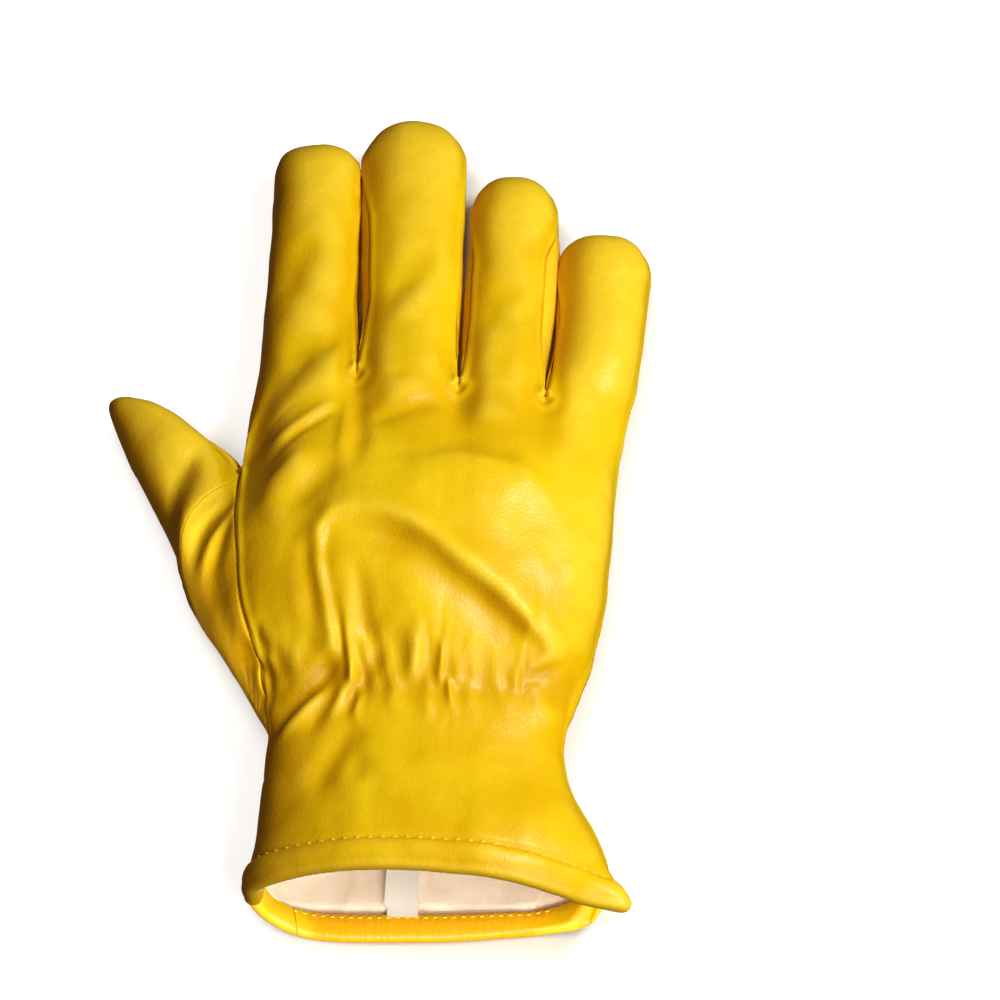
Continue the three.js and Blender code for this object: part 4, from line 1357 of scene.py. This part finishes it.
@dataclass(frozen=True)
class ThreadFinish:
    """Yellow twisted polyester thread."""

    name: str = "sewing_thread"
    light: tuple[float, float, float] = (0.98, 0.70, 0.06)
    deep: tuple[float, float, float] = (0.85, 0.52, 0.02)

    def material(self) -> bpy.types.Material:
        """Slanted plies, a little glossier than the leather."""
        make = Shader(self.name)
        place = make.node("ShaderNodeTexCoord").outputs["Object"]
        plies = make.noise(place, 1800, 2, 0.5)
        make.set("Base Color", make.mix(make.ramp(plies, 0.35, 0.7), self.light, self.deep))
        make.set("Roughness", 0.5)
        make.bump(plies, 0.3, 0.0001)
        return make.material


class Shader:
    """A material under way: short ways to add nodes and join them."""

    def __init__(self, name: str) -> None:
        """Starts a material with one principled shader.

        Args:
            name: the material's name.
        """
        self.material = bpy.data.materials.new(name)
        self.material.use_nodes = True
        self.tree = self.material.node_tree
        self.shader = self.tree.nodes["Principled BSDF"]

    def node(self, kind: str) -> bpy.types.Node:
        """Adds a node."""
        return self.tree.nodes.new(kind)

    def join(self, value: object, socket: bpy.types.NodeSocket) -> None:
        """Links a socket to another, or sets it to a number or colour."""
        if isinstance(value, bpy.types.NodeSocket):
            self.tree.links.new(value, socket)
        elif isinstance(value, tuple):
            socket.default_value = (*value, 1.0) if len(value) == 3 and socket.type == "RGBA" else value
        else:
            socket.default_value = value

    def set(self, name: str, value: object) -> None:
        """Sets or links one of the principled shader's inputs."""
        self.join(value, self.shader.inputs[name])

    def noise(self, place: object, scale: float, detail: float, rough: float) -> object:
        """Noise at a scale, as a socket."""
        node = self.node("ShaderNodeTexNoise")
        self.join(place, node.inputs["Vector"])
        node.inputs["Scale"].default_value = scale
        node.inputs["Detail"].default_value = detail
        node.inputs["Roughness"].default_value = rough
        return node.outputs["Fac"]

    def stretched(self, place: object, factors: tuple[float, float, float]) -> object:
        """Places scaled by a factor along each axis, as a socket."""
        node = self.node("ShaderNodeVectorMath")
        node.operation = "MULTIPLY"
        self.join(place, node.inputs[0])
        node.inputs[1].default_value = factors
        return node.outputs[0]

    def voronoi(self, place: object, scale: float, feature: str) -> object:
        """Distance to the nearest cell's middle, as a socket."""
        node = self.node("ShaderNodeTexVoronoi")
        node.feature = feature
        self.join(place, node.inputs["Vector"])
        node.inputs["Scale"].default_value = scale
        return node.outputs["Distance"]

    def weave(self, place: object, scale: float) -> object:
        """Two crossing sets of bands, as a plain weave has."""
        bands = []
        for direction in ("X", "Y"):
            node = self.node("ShaderNodeTexWave")
            node.bands_direction = direction
            self.join(place, node.inputs["Vector"])
            node.inputs["Scale"].default_value = scale
            node.inputs["Distortion"].default_value = 0.6
            bands.append(node.outputs["Fac"])
        return self.math("MULTIPLY", bands[0], bands[1])

    def math(self, operation: str, *values: object) -> object:
        """A sum of two or three values, as a socket."""
        node = self.node("ShaderNodeMath")
        node.operation = operation
        for value, socket in zip(values, node.inputs):
            self.join(value, socket)
        return node.outputs[0]

    def ramp(self, value: object, low: float, high: float) -> object:
        """Value from 0 at low to 1 at high, eased."""
        node = self.node("ShaderNodeMapRange")
        node.interpolation_type = "SMOOTHSTEP"
        self.join(value, node.inputs["Value"])
        node.inputs["From Min"].default_value = low
        node.inputs["From Max"].default_value = high
        return node.outputs["Result"]

    def mix(self, share: object, a: object, b: object) -> object:
        """Colour between a and b."""
        node = self.node("ShaderNodeMix")
        node.data_type = "RGBA"
        self.join(share, node.inputs[0])
        self.join(a, node.inputs[6])
        self.join(b, node.inputs[7])
        return node.outputs[2]

    def attribute(self, name: str) -> object:
        """A number that the mesh stores at its vertices."""
        node = self.node("ShaderNodeAttribute")
        node.attribute_name = name
        return node.outputs["Fac"]

    def bump(self, height: object, strength: float, distance: float) -> None:
        """Raises the surface by a height."""
        node = self.node("ShaderNodeBump")
        node.inputs["Strength"].default_value = strength
        node.inputs["Distance"].default_value = distance
        self.join(height, node.inputs["Height"])
        self.set("Normal", node.outputs["Normal"])


# ---- the leather ----
@dataclass
class LeatherShell:
    """The leather pieces, cut from the relieved skin."""

    glove: GloveSkin
    seam_radius: float = 0.8
    thumb_seam: float = 0.2
    welt_height: float = 0.5
    crotch_welt: float = 0.5
    crotch_reach: float = 7.0
    melt_reach: float = 6.5
    welt_distance: float = 1.6
    welt_width: float = 0.8
    hem_puff: float = 0.9
    flap_rows: int = 12
    stitch_groove: float = 0.5
    fork_leather: float = 0.5
    thin_hem: float = 0.8
    hem_thinning: float = 5.0
    vent_melt: float = 2.6
    bulb_height: float = 0.7
    bulb_radius: float = 2.9
    bulb_width: float = 1.3
    bulb_set_back: float = 1.0
    bulb_pit: float = 0.5
    finish: LeatherFinish = field(default_factory=LeatherFinish)

    def build(self) -> list[bpy.types.Object]:
        """Works out relief, flare, hem and seams, and makes one object for each piece.

        Returns:
            The pieces' objects.
        """
        glove, z = self.glove, self.glove.sizes
        skin = glove.skin
        points = self.hemmed(self.flared(glove.relieved))
        crotches = points[self.back_numbers[-1, np.cumsum(glove.back_columns)[:-1]]]
        from_crotch = np.sqrt(np.min(np.sum((points[:, None] - crotches[None]) ** 2, axis=2), axis=1))
        corners = points[[self.back_numbers[0, -1], self.palm_numbers[0, -1]]]
        from_corner = np.linalg.norm(points[:, None] - corners[None], axis=2).min(axis=1)
        melting = 0.9 * np.maximum(bell(from_crotch / self.melt_reach), bell(from_corner / self.vent_melt))[:, None]
        points = lerp(points, skin.relax(points, 12), melting)
        normals = skin.normals(points)
        near = self.distance_to(points, points[skin.seam_vertices(Piece.THUMB, False)])
        near_thumb = self.distance_to(points, points[skin.seam_vertices(Piece.THUMB, True)])
        back = np.zeros(len(points), bool)
        back[skin.quads[skin.piece == PIECES.index(Piece.BACK)]] = True
        height = self.welt_height + self.crotch_welt * bell(from_crotch / self.crotch_reach)
        welt = height * bell((near - self.welt_distance) / self.welt_width) * back
        sunk = self.round_off(near) + self.thumb_seam * self.round_off(near_thumb)
        final = points + normals * (welt - sunk + back * self.bulbs(points, crotches[1:]))[:, None]
        final[:, 2] = np.maximum(final[:, 2], 0)
        normals = skin.normals(final)
        self.final, self.final_normals = final, normals
        hollow = self.hollowness(final, normals)
        thickness = self.wall_thickness(final, normals)
        material = self.finish.material()
        pieces = []
        for number, piece in enumerate(PIECES):
            quads = skin.quads[skin.piece == number]
            thick = np.minimum(thickness, self.fork_leather) if piece in FORKS else thickness
            wall = Wall(final, normals, quads, thick, z.seam_gap)
            mesh_points, faces, source = wall.mesh()
            made = make_object(f"{piece.value}_leather", mesh_points, faces, material)
            # Painted shade: hollows and the valleys of the folds are marked to be coloured darker.
            set_attribute(made, "crease", np.clip(np.maximum(hollow, -0.32 * self.folds)[source], 0, 1))
            # Painted highlight: crests and fold ridges are marked to be coloured paler.
            set_attribute(made, "crest", np.clip(np.maximum(-1.6 * hollow, 0.3 * self.folds)[source], 0, 1))
            set_attribute(made, "amber", self.amber[source])
            # Painted shade: sides whose normal faces left, away from the key light, are marked to be coloured deeper.
            set_attribute(made, "tan", smooth((0.05 - normals[source, 0]) / 0.75))
            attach(made, "root")
            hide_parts(piece.value)
            LOG.info("%s: %d faces", made.name, len(made.data.polygons))
            pieces.append(made)
        return pieces

    def wall_thickness(self, points: Array, normals: Array) -> Array:
        """The leather's thickness, less where it bends so tightly that its inner side would turn inside out.

        Args:
            points: the skin's vertices.
            normals: their unit normals.

        Returns:
            The thickness at each vertex.
        """
        skin = self.glove.skin
        thickness = np.full(len(points), self.glove.sizes.leather)
        outer = [points[skin.quads[:, i]] for i in range(4)]
        facing = np.cross(outer[2] - outer[0], outer[3] - outer[1])
        for _ in range(5):
            inner = points - normals * thickness[:, None]
            a, b, c, d = (inner[skin.quads[:, i]] for i in range(4))
            turned = np.sum(np.cross(c - a, d - b) * facing, axis=1) < 0.35 * np.sum(facing * facing, axis=1)
            thickness[np.unique(skin.quads[turned])] *= 0.5
        return np.minimum(thickness, skin.relax(thickness, 2))

    def bulbs(self, points: Array, crotches: Array) -> Array:
        """Height of the small loop that the fork's end makes on the back round each crotch, with a pit inside it."""
        total = np.zeros(len(points))
        for crotch in crotches:
            away = np.linalg.norm(points - (crotch - (0, self.bulb_set_back, 0)), axis=1)
            total += self.bulb_height * bell((away - self.bulb_radius) / self.bulb_width)
            total -= self.bulb_pit * bell(away / self.bulb_width)
        return total

    def round_off(self, near: Array) -> Array:
        """How far the leather's edge rolls down at a distance from its seam: a quarter of a circle."""
        radius = self.seam_radius
        return radius - np.sqrt(np.maximum(0, radius**2 - np.square(np.maximum(0, radius - near))))

    def flared(self, points: Array) -> Array:
        """Fans the back's outer corner out and up below the vent's top, draws the palm's corner out and rounds the first.

        Args:
            points: the skin's vertices.

        Returns:
            The moved vertices.
        """
        glove, z = self.glove, self.glove.sizes
        points = points.copy()
        moves = (
            (glove.back_numbers, glove.back_angle, z.vent_spread, (z.vent_flare, 0, z.vent_lift)),
            (glove.palm_numbers, 2 * math.pi - glove.palm_angle, z.palm_spread, (z.palm_shift, 0, 0)),
        )
        old = points.copy()
        for numbers, angle, spread, move in moves:
            open_share = smooth(1 - old[numbers][..., 1] / glove.vent_top)
            share = open_share * smooth(1 - angle / RAD / spread)
            points[numbers] = old[numbers] + share[..., None] * np.array(move)
        self.round_corner(points, glove.back_numbers, z.back_corner)
        return points

    def round_corner(self, points: Array, numbers: Array, radius: float) -> None:
        """Draws the mouth's edge back near the vent, along a quarter of a circle.

        Args:
            points: the skin's vertices, which are moved.
            numbers: the back's vertices, rows by columns, with the vent at the last column.
            radius: the circle's radius.
        """
        reach = 3 * radius
        edge = points[numbers[0]]
        away = np.linalg.norm(edge - edge[-1], axis=1)
        for column in np.flatnonzero(away < radius):
            line = points[numbers[:, column]]
            run = np.concatenate(([0.0], np.cumsum(np.linalg.norm(np.diff(line, axis=0), axis=1))))
            back = radius * (1 - math.sqrt(1 - (1 - away[column] / radius) ** 2))
            at = run + back * np.clip(1 - run / reach, 0, 1)
            points[numbers[:, column]] = np.stack([np.interp(at, run, line[:, i]) for i in range(3)], axis=-1)

    def hem_relief(self, distance: Array) -> Array:
        """Height of the hem's outer face over its distance from the mouth: soft between the edge and the stitches,
        which draw a groove."""
        share = distance / self.glove.sizes.back_stitches
        puff = self.hem_puff * np.power(np.sin(math.pi * np.clip(share, 0, 1)), 0.8)
        return puff - self.stitch_groove * bell((share - 1) / 0.12)

    def hemmed(self, points: Array) -> Array:
        """Adds the turned hem: a half-round roll and a flap that runs back up inside. It thins towards the vent."""
        glove, z, skin = self.glove, self.glove.sizes, self.glove.skin
        normals = unit(skin.relax(skin.normals(points), 10))
        rows = glove.hem_rows()
        angles = np.linspace(0, math.pi, glove.roll_steps + 1)[1:-1]
        points = points.copy()
        relief = self.hem_relief(rows)
        added, faces, labels = [points], [], []
        self.flaps = []
        start = len(points)
        amber = [np.zeros(len(points))]
        for numbers, turned in ((glove.back_numbers, False), (glove.palm_numbers, True)):
            edge = points[numbers[0]]
            normal = normals[numbers[0]]
            from_vent = np.linalg.norm(edge - edge[-1], axis=1)[:, None]
            radius = lerp(self.thin_hem, z.roll, smooth(from_vent / self.hem_thinning))
            out = edge - points[numbers[5]]
            out = unit(out - normal * np.sum(out * normal, axis=1, keepdims=True))
            spread = np.exp(-np.square(np.linalg.norm(edge[:, None] - edge[None], axis=2) / 2.5))
            out = unit(spread @ out)
            roll = [edge + normal * radius * (math.cos(a) - 1) + out * radius * math.sin(a) for a in angles]
            deep = glove.flap_depth(edge)
            flap = []
            for share in np.linspace(0, 1, self.flap_rows):
                place = np.interp(share * deep, rows, np.arange(len(rows)))
                j, part = np.floor(place).astype(int), (place % 1)[:, None]
                column = np.arange(len(edge))
                low, high = numbers[j, column], numbers[np.minimum(j + 1, len(rows) - 1), column]
                inside = 2 * radius + 0.4 * self.hem_puff * math.sin(math.pi * share)
                flap.append(lerp(points[low], points[high], part) - lerp(normals[low], normals[high], part) * inside)
            for j, height in enumerate(relief):
                points[numbers[j]] += normals[numbers[j]] * height * smooth(from_vent / self.hem_thinning)
            grid = np.stack(roll + flap)
            count, columns = grid.shape[:2]
            mine = start + np.arange(count * columns).reshape(count, columns)
            self.flaps.append(mine[len(roll) :])
            added.append(grid.reshape(-1, 3))
            from_left = np.linalg.norm(edge - edge[0], axis=1)
            share = smooth((from_vent[:, 0] - 12) / 6) * smooth((from_left - 3) / 5) if turned else 0.1 * np.ones(columns)
            amber.append(np.tile(share, count))
            if turned:
                amber[0][numbers[: len(rows)]] = share * np.clip(1 - rows / z.back_stitches, 0, 1)[:, None]
            start += count * columns
            full = np.concatenate((numbers[:1], mine))
            low, high = (full[:-1], full[1:]) if turned else (full[1:], full[:-1])
            quads = np.stack((low[:, :-1], low[:, 1:], high[:, 1:], high[:, :-1]), axis=-1)
            faces.append(quads.reshape(-1, 4))
            labels.append(np.tile(self.edge_labels(numbers[0]), count))
        skin.quads = np.concatenate([skin.quads, *faces])
        skin.piece = np.concatenate([skin.piece, *labels])
        joined = np.concatenate(added)
        joined[:, 2] = np.maximum(joined[:, 2], 0)
        self.amber = np.concatenate(amber)
        self.folds = np.concatenate((glove.fold_heights, np.zeros(len(joined) - len(points))))
        return self.weld_added(joined, len(points))

    def edge_labels(self, edge: Array) -> Array:
        """The piece of the skin's quad above each stretch of a mouth row."""
        skin = self.glove.skin
        count = len(skin.points) + 1
        codes = {}
        for corners in ((0, 1), (2, 3)):
            pair = np.sort(skin.quads[:, corners], axis=1)
            codes.update(zip((pair[:, 0] * count + pair[:, 1]).tolist(), skin.piece.tolist()))
        pair = np.sort(np.column_stack((edge[:-1], edge[1:])), axis=1)
        return np.array([codes[c] for c in (pair[:, 0] * count + pair[:, 1]).tolist()])

    def weld_added(self, points: Array, old: int) -> Array:
        """Joins the hem's new points that are in one place, at the thumb's side and above the vent."""
        skin = self.glove.skin
        keys = np.round(points * 1000).astype(np.int64)
        keys = np.column_stack((keys, np.where(np.arange(len(points)) < old, np.arange(len(points)), -1)))
        _, first, back = np.unique(keys, axis=0, return_index=True, return_inverse=True)
        skin.quads = back.reshape(-1)[skin.quads]
        back = back.reshape(-1)
        self.back_numbers, self.palm_numbers = back[self.glove.back_numbers], back[self.glove.palm_numbers]
        self.flaps = [back[flap] for flap in self.flaps]
        self.amber, self.folds = self.amber[first], self.folds[first]
        return points[first]

    def distance_to(self, points: Array, targets: Array) -> Array:
        """Distance of each point from the nearest target, up to 6 mm, in chunks of whole arrays."""
        near = np.full(len(points), 6.0)
        for start in range(0, len(points), 1500):
            part = points[start : start + 1500]
            low, high = part.min(axis=0) - 6, part.max(axis=0) + 6
            close = targets[np.all((targets > low) & (targets < high), axis=1)]
            if len(close):
                squared = np.sum((part[:, None] - close[None]) ** 2, axis=2)
                near[start : start + 1500] = np.minimum(6.0, np.sqrt(squared.min(axis=1)))
        return near

    def hollowness(self, points: Array, normals: Array) -> Array:
        """How hollow the surface is, from 1 in creases to -1 on crests: how far the mean of the neighbourhood stands
        out along the normal."""
        around = self.glove.skin.relax(points, 6)
        out = np.sum((around - points) * normals, axis=1)
        return np.clip(self.glove.skin.relax(out, 2) / 0.6, -1, 1)


@dataclass
class LiningSleeve:
    """The cloth sleeve inside the hand, tucked into the hem and quilted out a little beyond it."""

    glove: GloveSkin
    first_row: int = 6
    last_share: float = 0.85
    puff: float = 1.7
    wrinkle: float = 1.5
    vent_recess: float = 4.0
    finish: LiningFinish = field(default_factory=LiningFinish)

    def build(self) -> bpy.types.Object:
        """Offsets the hand's ring inwards by the leather and gives it a wall that wrinkles on its inner side.

        Returns:
            The lining's object.
        """
        glove, z = self.glove, self.glove.sizes
        rows = glove.ring_numbers.shape[0]
        last = rows - int((1 - self.last_share) * glove.body_rows)
        numbers = glove.ring_numbers[self.first_row : last, ::2]
        points = glove.relieved
        normals = unit(glove.skin.relax(glove.skin.normals(points), 6))
        inset = points - normals * (z.leather + z.layer_gap)
        corner = points[glove.back_numbers[0, -1]]
        inset[:, 0] -= self.vent_recess * bell(np.linalg.norm(points - corner, axis=1) / 12)
        closed = np.concatenate((numbers, numbers[:, :1]), axis=1)
        quads = np.stack((closed[:-1, :-1], closed[:-1, 1:], closed[1:, 1:], closed[1:, :-1]), axis=-1).reshape(-1, 4)
        from_mouth = points[:, 1] - glove.mouth_y(np.full(len(points), 1.5 * math.pi))
        beyond = smooth((from_mouth - glove.flap_depth(points) + 0.5) / 4)
        noise = Noise(23)
        long_folds = np.abs(noise.at(points, (9, 26, 14))) + 0.5 * np.abs(noise.at(points + 40, (5, 12, 8)))
        thickness = z.lining + beyond * (self.puff * 0.6 + self.wrinkle * long_folds)
        mesh_points, faces, _ = Wall(inset, normals, quads, thickness, 0.0).mesh()
        made = make_object("lining_cloth", mesh_points, faces, self.finish.material())
        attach(made, "root")
        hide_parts("lining")
        LOG.info("%s: %d faces", made.name, len(made.data.polygons))
        return made


@dataclass
class LabelTape:
    """The bare label: a folded loop of satin tape that comes out from under the palm's hem."""

    width: float = 8.6
    length: float = 18.0
    across: float = -6.4
    start: float = 5.4
    height: float = 4.9
    thickness: float = 0.4
    fold_radius: float = 0.7
    skew: float = 0.7
    finish: TapeFinish = field(default_factory=TapeFinish)

    def build(self) -> bpy.types.Object:
        """Carries the tape's width along a profile that runs in, turns over and comes back on itself.

        Returns:
            The label's object.
        """
        t = np.linspace(0, 1, 30)
        run_y = self.start + self.length * t
        run_z = self.height + 0.5 * np.sin(math.pi * t) + 1.2 * t * t
        turn = np.linspace(-0.5, 0.5, 9)[1:-1] * math.pi
        turn_y = run_y[-1] + self.fold_radius * np.cos(turn)
        turn_z = run_z[-1] + self.fold_radius * (1 + np.sin(turn))
        back_y = run_y[::-1] + 1.6 * t
        back_z = run_z[::-1] + 2 * self.fold_radius + 0.9 * np.square(t) * np.sin(math.pi * t)
        y = np.concatenate((run_y, turn_y, back_y))
        z = np.concatenate((run_z, turn_z, back_z))
        share = np.linspace(0, 1, len(y))
        shift = self.across - self.skew * smooth((share - 0.5) / 0.5)
        u = np.linspace(-1, 1, 15)
        half = self.width / 2 * np.sqrt(np.maximum(0.05, 1 - np.square(np.clip((share - 0.965) / 0.05, 0, 1))))
        x = shift[:, None] + half[:, None] * u[None]
        lift = 0.25 * np.square(u)[None] * smooth(share * 4)[:, None]
        middle = np.stack((x, np.broadcast_to(y[:, None], x.shape), z[:, None] + lift), axis=-1)
        numbers = np.arange(x.size).reshape(x.shape)
        quads = np.stack((numbers[:-1, :-1], numbers[:-1, 1:], numbers[1:, 1:], numbers[1:, :-1]), axis=-1)
        skin = Skin()
        skin.quads = quads.reshape(-1, 4)
        points = middle.reshape(-1, 3)
        normals = skin.normals(points)
        wall = Wall(points + normals * self.thickness / 2, normals, skin.quads, self.thickness, 0.0)
        mesh_points, faces, _ = wall.mesh()
        made = make_object("label_tape_loop", mesh_points, faces, self.finish.material())
        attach(made, "root")
        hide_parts("label")
        LOG.info("%s: %d faces", made.name, len(made.data.polygons))
        return made


@dataclass
class StitchRow:
    """A row of stitches: short rounded threads, each sunk into the leather at both ends."""

    name: str
    pitch: float
    length: float
    thickness: float
    lift: float = 0.12

    def build(self, points: Array, normals: Array, finish: bpy.types.Material) -> bpy.types.Object:
        """Places one stitch at each pitch along a line. A stitch is a round section carried along an arc, which is
        thickest and highest in its middle.

        Args:
            points: the line's places.
            normals: the surface's normals there.
            finish: the thread's material.

        Returns:
            The row's object.
        """
        run = np.concatenate(([0.0], np.cumsum(np.linalg.norm(np.diff(points, axis=0), axis=1))))
        middle = np.arange(self.pitch / 2, run[-1], self.pitch)

        def read(values: Array, at: Array) -> Array:
            """Values of the line at distances along it."""
            return np.stack([np.interp(at, run, values[:, i]) for i in range(3)], axis=-1)

        t = np.linspace(-1, 1, 7)
        at = middle[:, None] + t * self.length / 2
        normal = unit(read(normals, at))
        centre = read(points, at) + normal * (self.lift - self.thickness * 0.9 * t[None, :, None] ** 2)
        ahead = unit(np.gradient(centre, axis=1))
        aside = unit(np.cross(ahead, normal))
        radius = self.thickness / 2 * np.sqrt(np.maximum(0.02, 1 - t**4))
        angle = np.arange(6) * math.pi / 3
        ring = np.cos(angle)[:, None] * aside[:, :, None] + np.sin(angle)[:, None] * normal[:, :, None]
        vertices = centre[:, :, None] + ring * radius[None, :, None, None]
        rows = np.arange(7 * 6).reshape(7, 6)
        wrapped = np.concatenate((rows, rows[:, :1]), axis=1)
        one = np.stack((wrapped[:-1, :-1], wrapped[1:, :-1], wrapped[1:, 1:], wrapped[:-1, 1:]), axis=-1).reshape(-1, 4)
        offsets = np.arange(len(middle))[:, None, None] * 42
        faces = (one[None] + offsets).reshape(-1, 4)
        made = make_object(self.name, vertices.reshape(-1, 3), faces, finish)
        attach(made, "root")
        LOG.info("%s: %d stitches", made.name, len(middle))
        return made


@dataclass
class Sewing:
    """The hem's two rows of stitches."""

    shell: LeatherShell
    vent_margin: float = 14.0
    finish: ThreadFinish = field(default_factory=ThreadFinish)

    def build(self) -> None:
        """Sews the hem on its outer and its inner face."""
        shell, z = self.shell, self.shell.glove.sizes
        thread = self.finish.material()
        row = int(np.argmin(np.abs(shell.glove.hem_rows() - z.back_stitches)))
        points, normals = shell.final, shell.final_normals
        back = shell.back_numbers[row][::-1][2:]
        StitchRow("hem_stitches_back", 3.4, 2.3, 0.7).build(points[back], normals[back], thread)
        inner = shell.flaps[1][-3]
        inner = inner[np.linalg.norm(points[inner] - points[inner[-1]], axis=1) > self.vent_margin]
        StitchRow("hem_stitches_palm", 2.6, 1.8, 0.55).build(points[inner], normals[inner], thread)


@dataclass
class Studio:
    """Camera, floor and soft lights."""

    elevation: float = 62.0
    lens: float = 100.0
    target: tuple[float, float, float] = (0.020671, 0.030906, 0.015)
    eye: tuple[float, float, float] = (0.020671, -0.354192, 0.739262)

    def build(self) -> None:
        """Sets up the camera, the pale floor and the lights."""
        camera = bpy.data.cameras.new("camera")
        camera.lens = self.lens
        camera.sensor_width = 36
        camera.clip_start = 0.01
        eye = bpy.data.objects.new("camera", camera)
        eye.location = self.eye
        eye.rotation_euler = (Vector(self.target) - Vector(self.eye)).to_track_quat("-Z", "Y").to_euler()
        bpy.context.scene.collection.objects.link(eye)
        bpy.context.scene.camera = eye
        self.floor()
        self.light("key", (0.36, 0.10, 0.53), 0.22, 2.85, (1.0, 1.0, 0.93))
        self.light("front", (0.36, -0.42, 0.52), 0.45, 3.0, (1.0, 0.94, 0.82))
        wash = self.light("floor_wash", (-0.5, 0.1, 0.9), 1.2, 16.0, (1.0, 1.0, 1.0))
        self.only(wash, ("floor",))
        mouth = self.light("mouth", (0.03, -0.5, 0.2), 0.2, 2.3, (1.0, 0.98, 0.95))
        self.only(mouth, ("lining_cloth", "label_tape_loop", "palm_panel_leather", "hem_stitches_palm"))
        world = bpy.data.worlds.new("studio")
        world.use_nodes = True
        world.node_tree.nodes["Background"].inputs["Color"].default_value = (1.0, 0.64, 0.25, 1)
        world.node_tree.nodes["Background"].inputs["Strength"].default_value = 0.1
        bpy.context.scene.world = world
        bpy.context.scene.view_settings.view_transform = "Standard"

    def only(self, lamp: bpy.types.Object, names: tuple[str, ...]) -> None:
        """Lets a light fall on the named objects alone."""
        chosen = bpy.data.collections.new(f"{lamp.name}_only")
        for name in names:
            chosen.objects.link(bpy.data.objects[name])
        lamp.light_linking.receiver_collection = chosen

    def floor(self) -> None:
        """A wide plain floor that the glove lies on."""
        make = Shader("floor")
        make.set("Base Color", (0.92, 0.92, 0.92))
        make.set("Roughness", 0.8)
        side = 3.0
        mesh = bpy.data.meshes.new("floor")
        mesh.from_pydata([(-side, -side, 0), (side, -side, 0), (side, side, 0), (-side, side, 0)], [], [(0, 1, 2, 3)])
        mesh.materials.append(make.material)
        floor = bpy.data.objects.new("floor", mesh)
        bpy.context.scene.collection.objects.link(floor)
        floor.visible_diffuse = False
        floor.visible_glossy = False

    def light(self, name: str, place: tuple, size: float, power: float, colour: tuple) -> bpy.types.Object:
        """A square soft box that faces the glove.

        Args:
            name: the light's name.
            place: where it stands, in metres.
            size: its side, in metres.
            power: watts.
            colour: its colour.

        Returns:
            The light's object.
        """
        lamp = bpy.data.lights.new(name, "AREA")
        lamp.size = size
        lamp.energy = power
        lamp.color = colour
        box = bpy.data.objects.new(name, lamp)
        box.location = place
        box.rotation_euler = (Vector((0, 0.02, 0.02)) - Vector(place)).to_track_quat("-Z", "Y").to_euler()
        bpy.context.scene.collection.objects.link(box)
        return box


def main() -> None:
    """Builds each sub-assembly in order."""
    logging.basicConfig(level=logging.INFO, format="%(message)s")
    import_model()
    glove = GloveSkin()
    glove.build()
    LiningSleeve(glove).build()
    LabelTape().build()
    shell = LeatherShell(glove)
    shell.build()
    Sewing(shell).build()
    Studio().build()


if __name__ == "__main__":
    main()
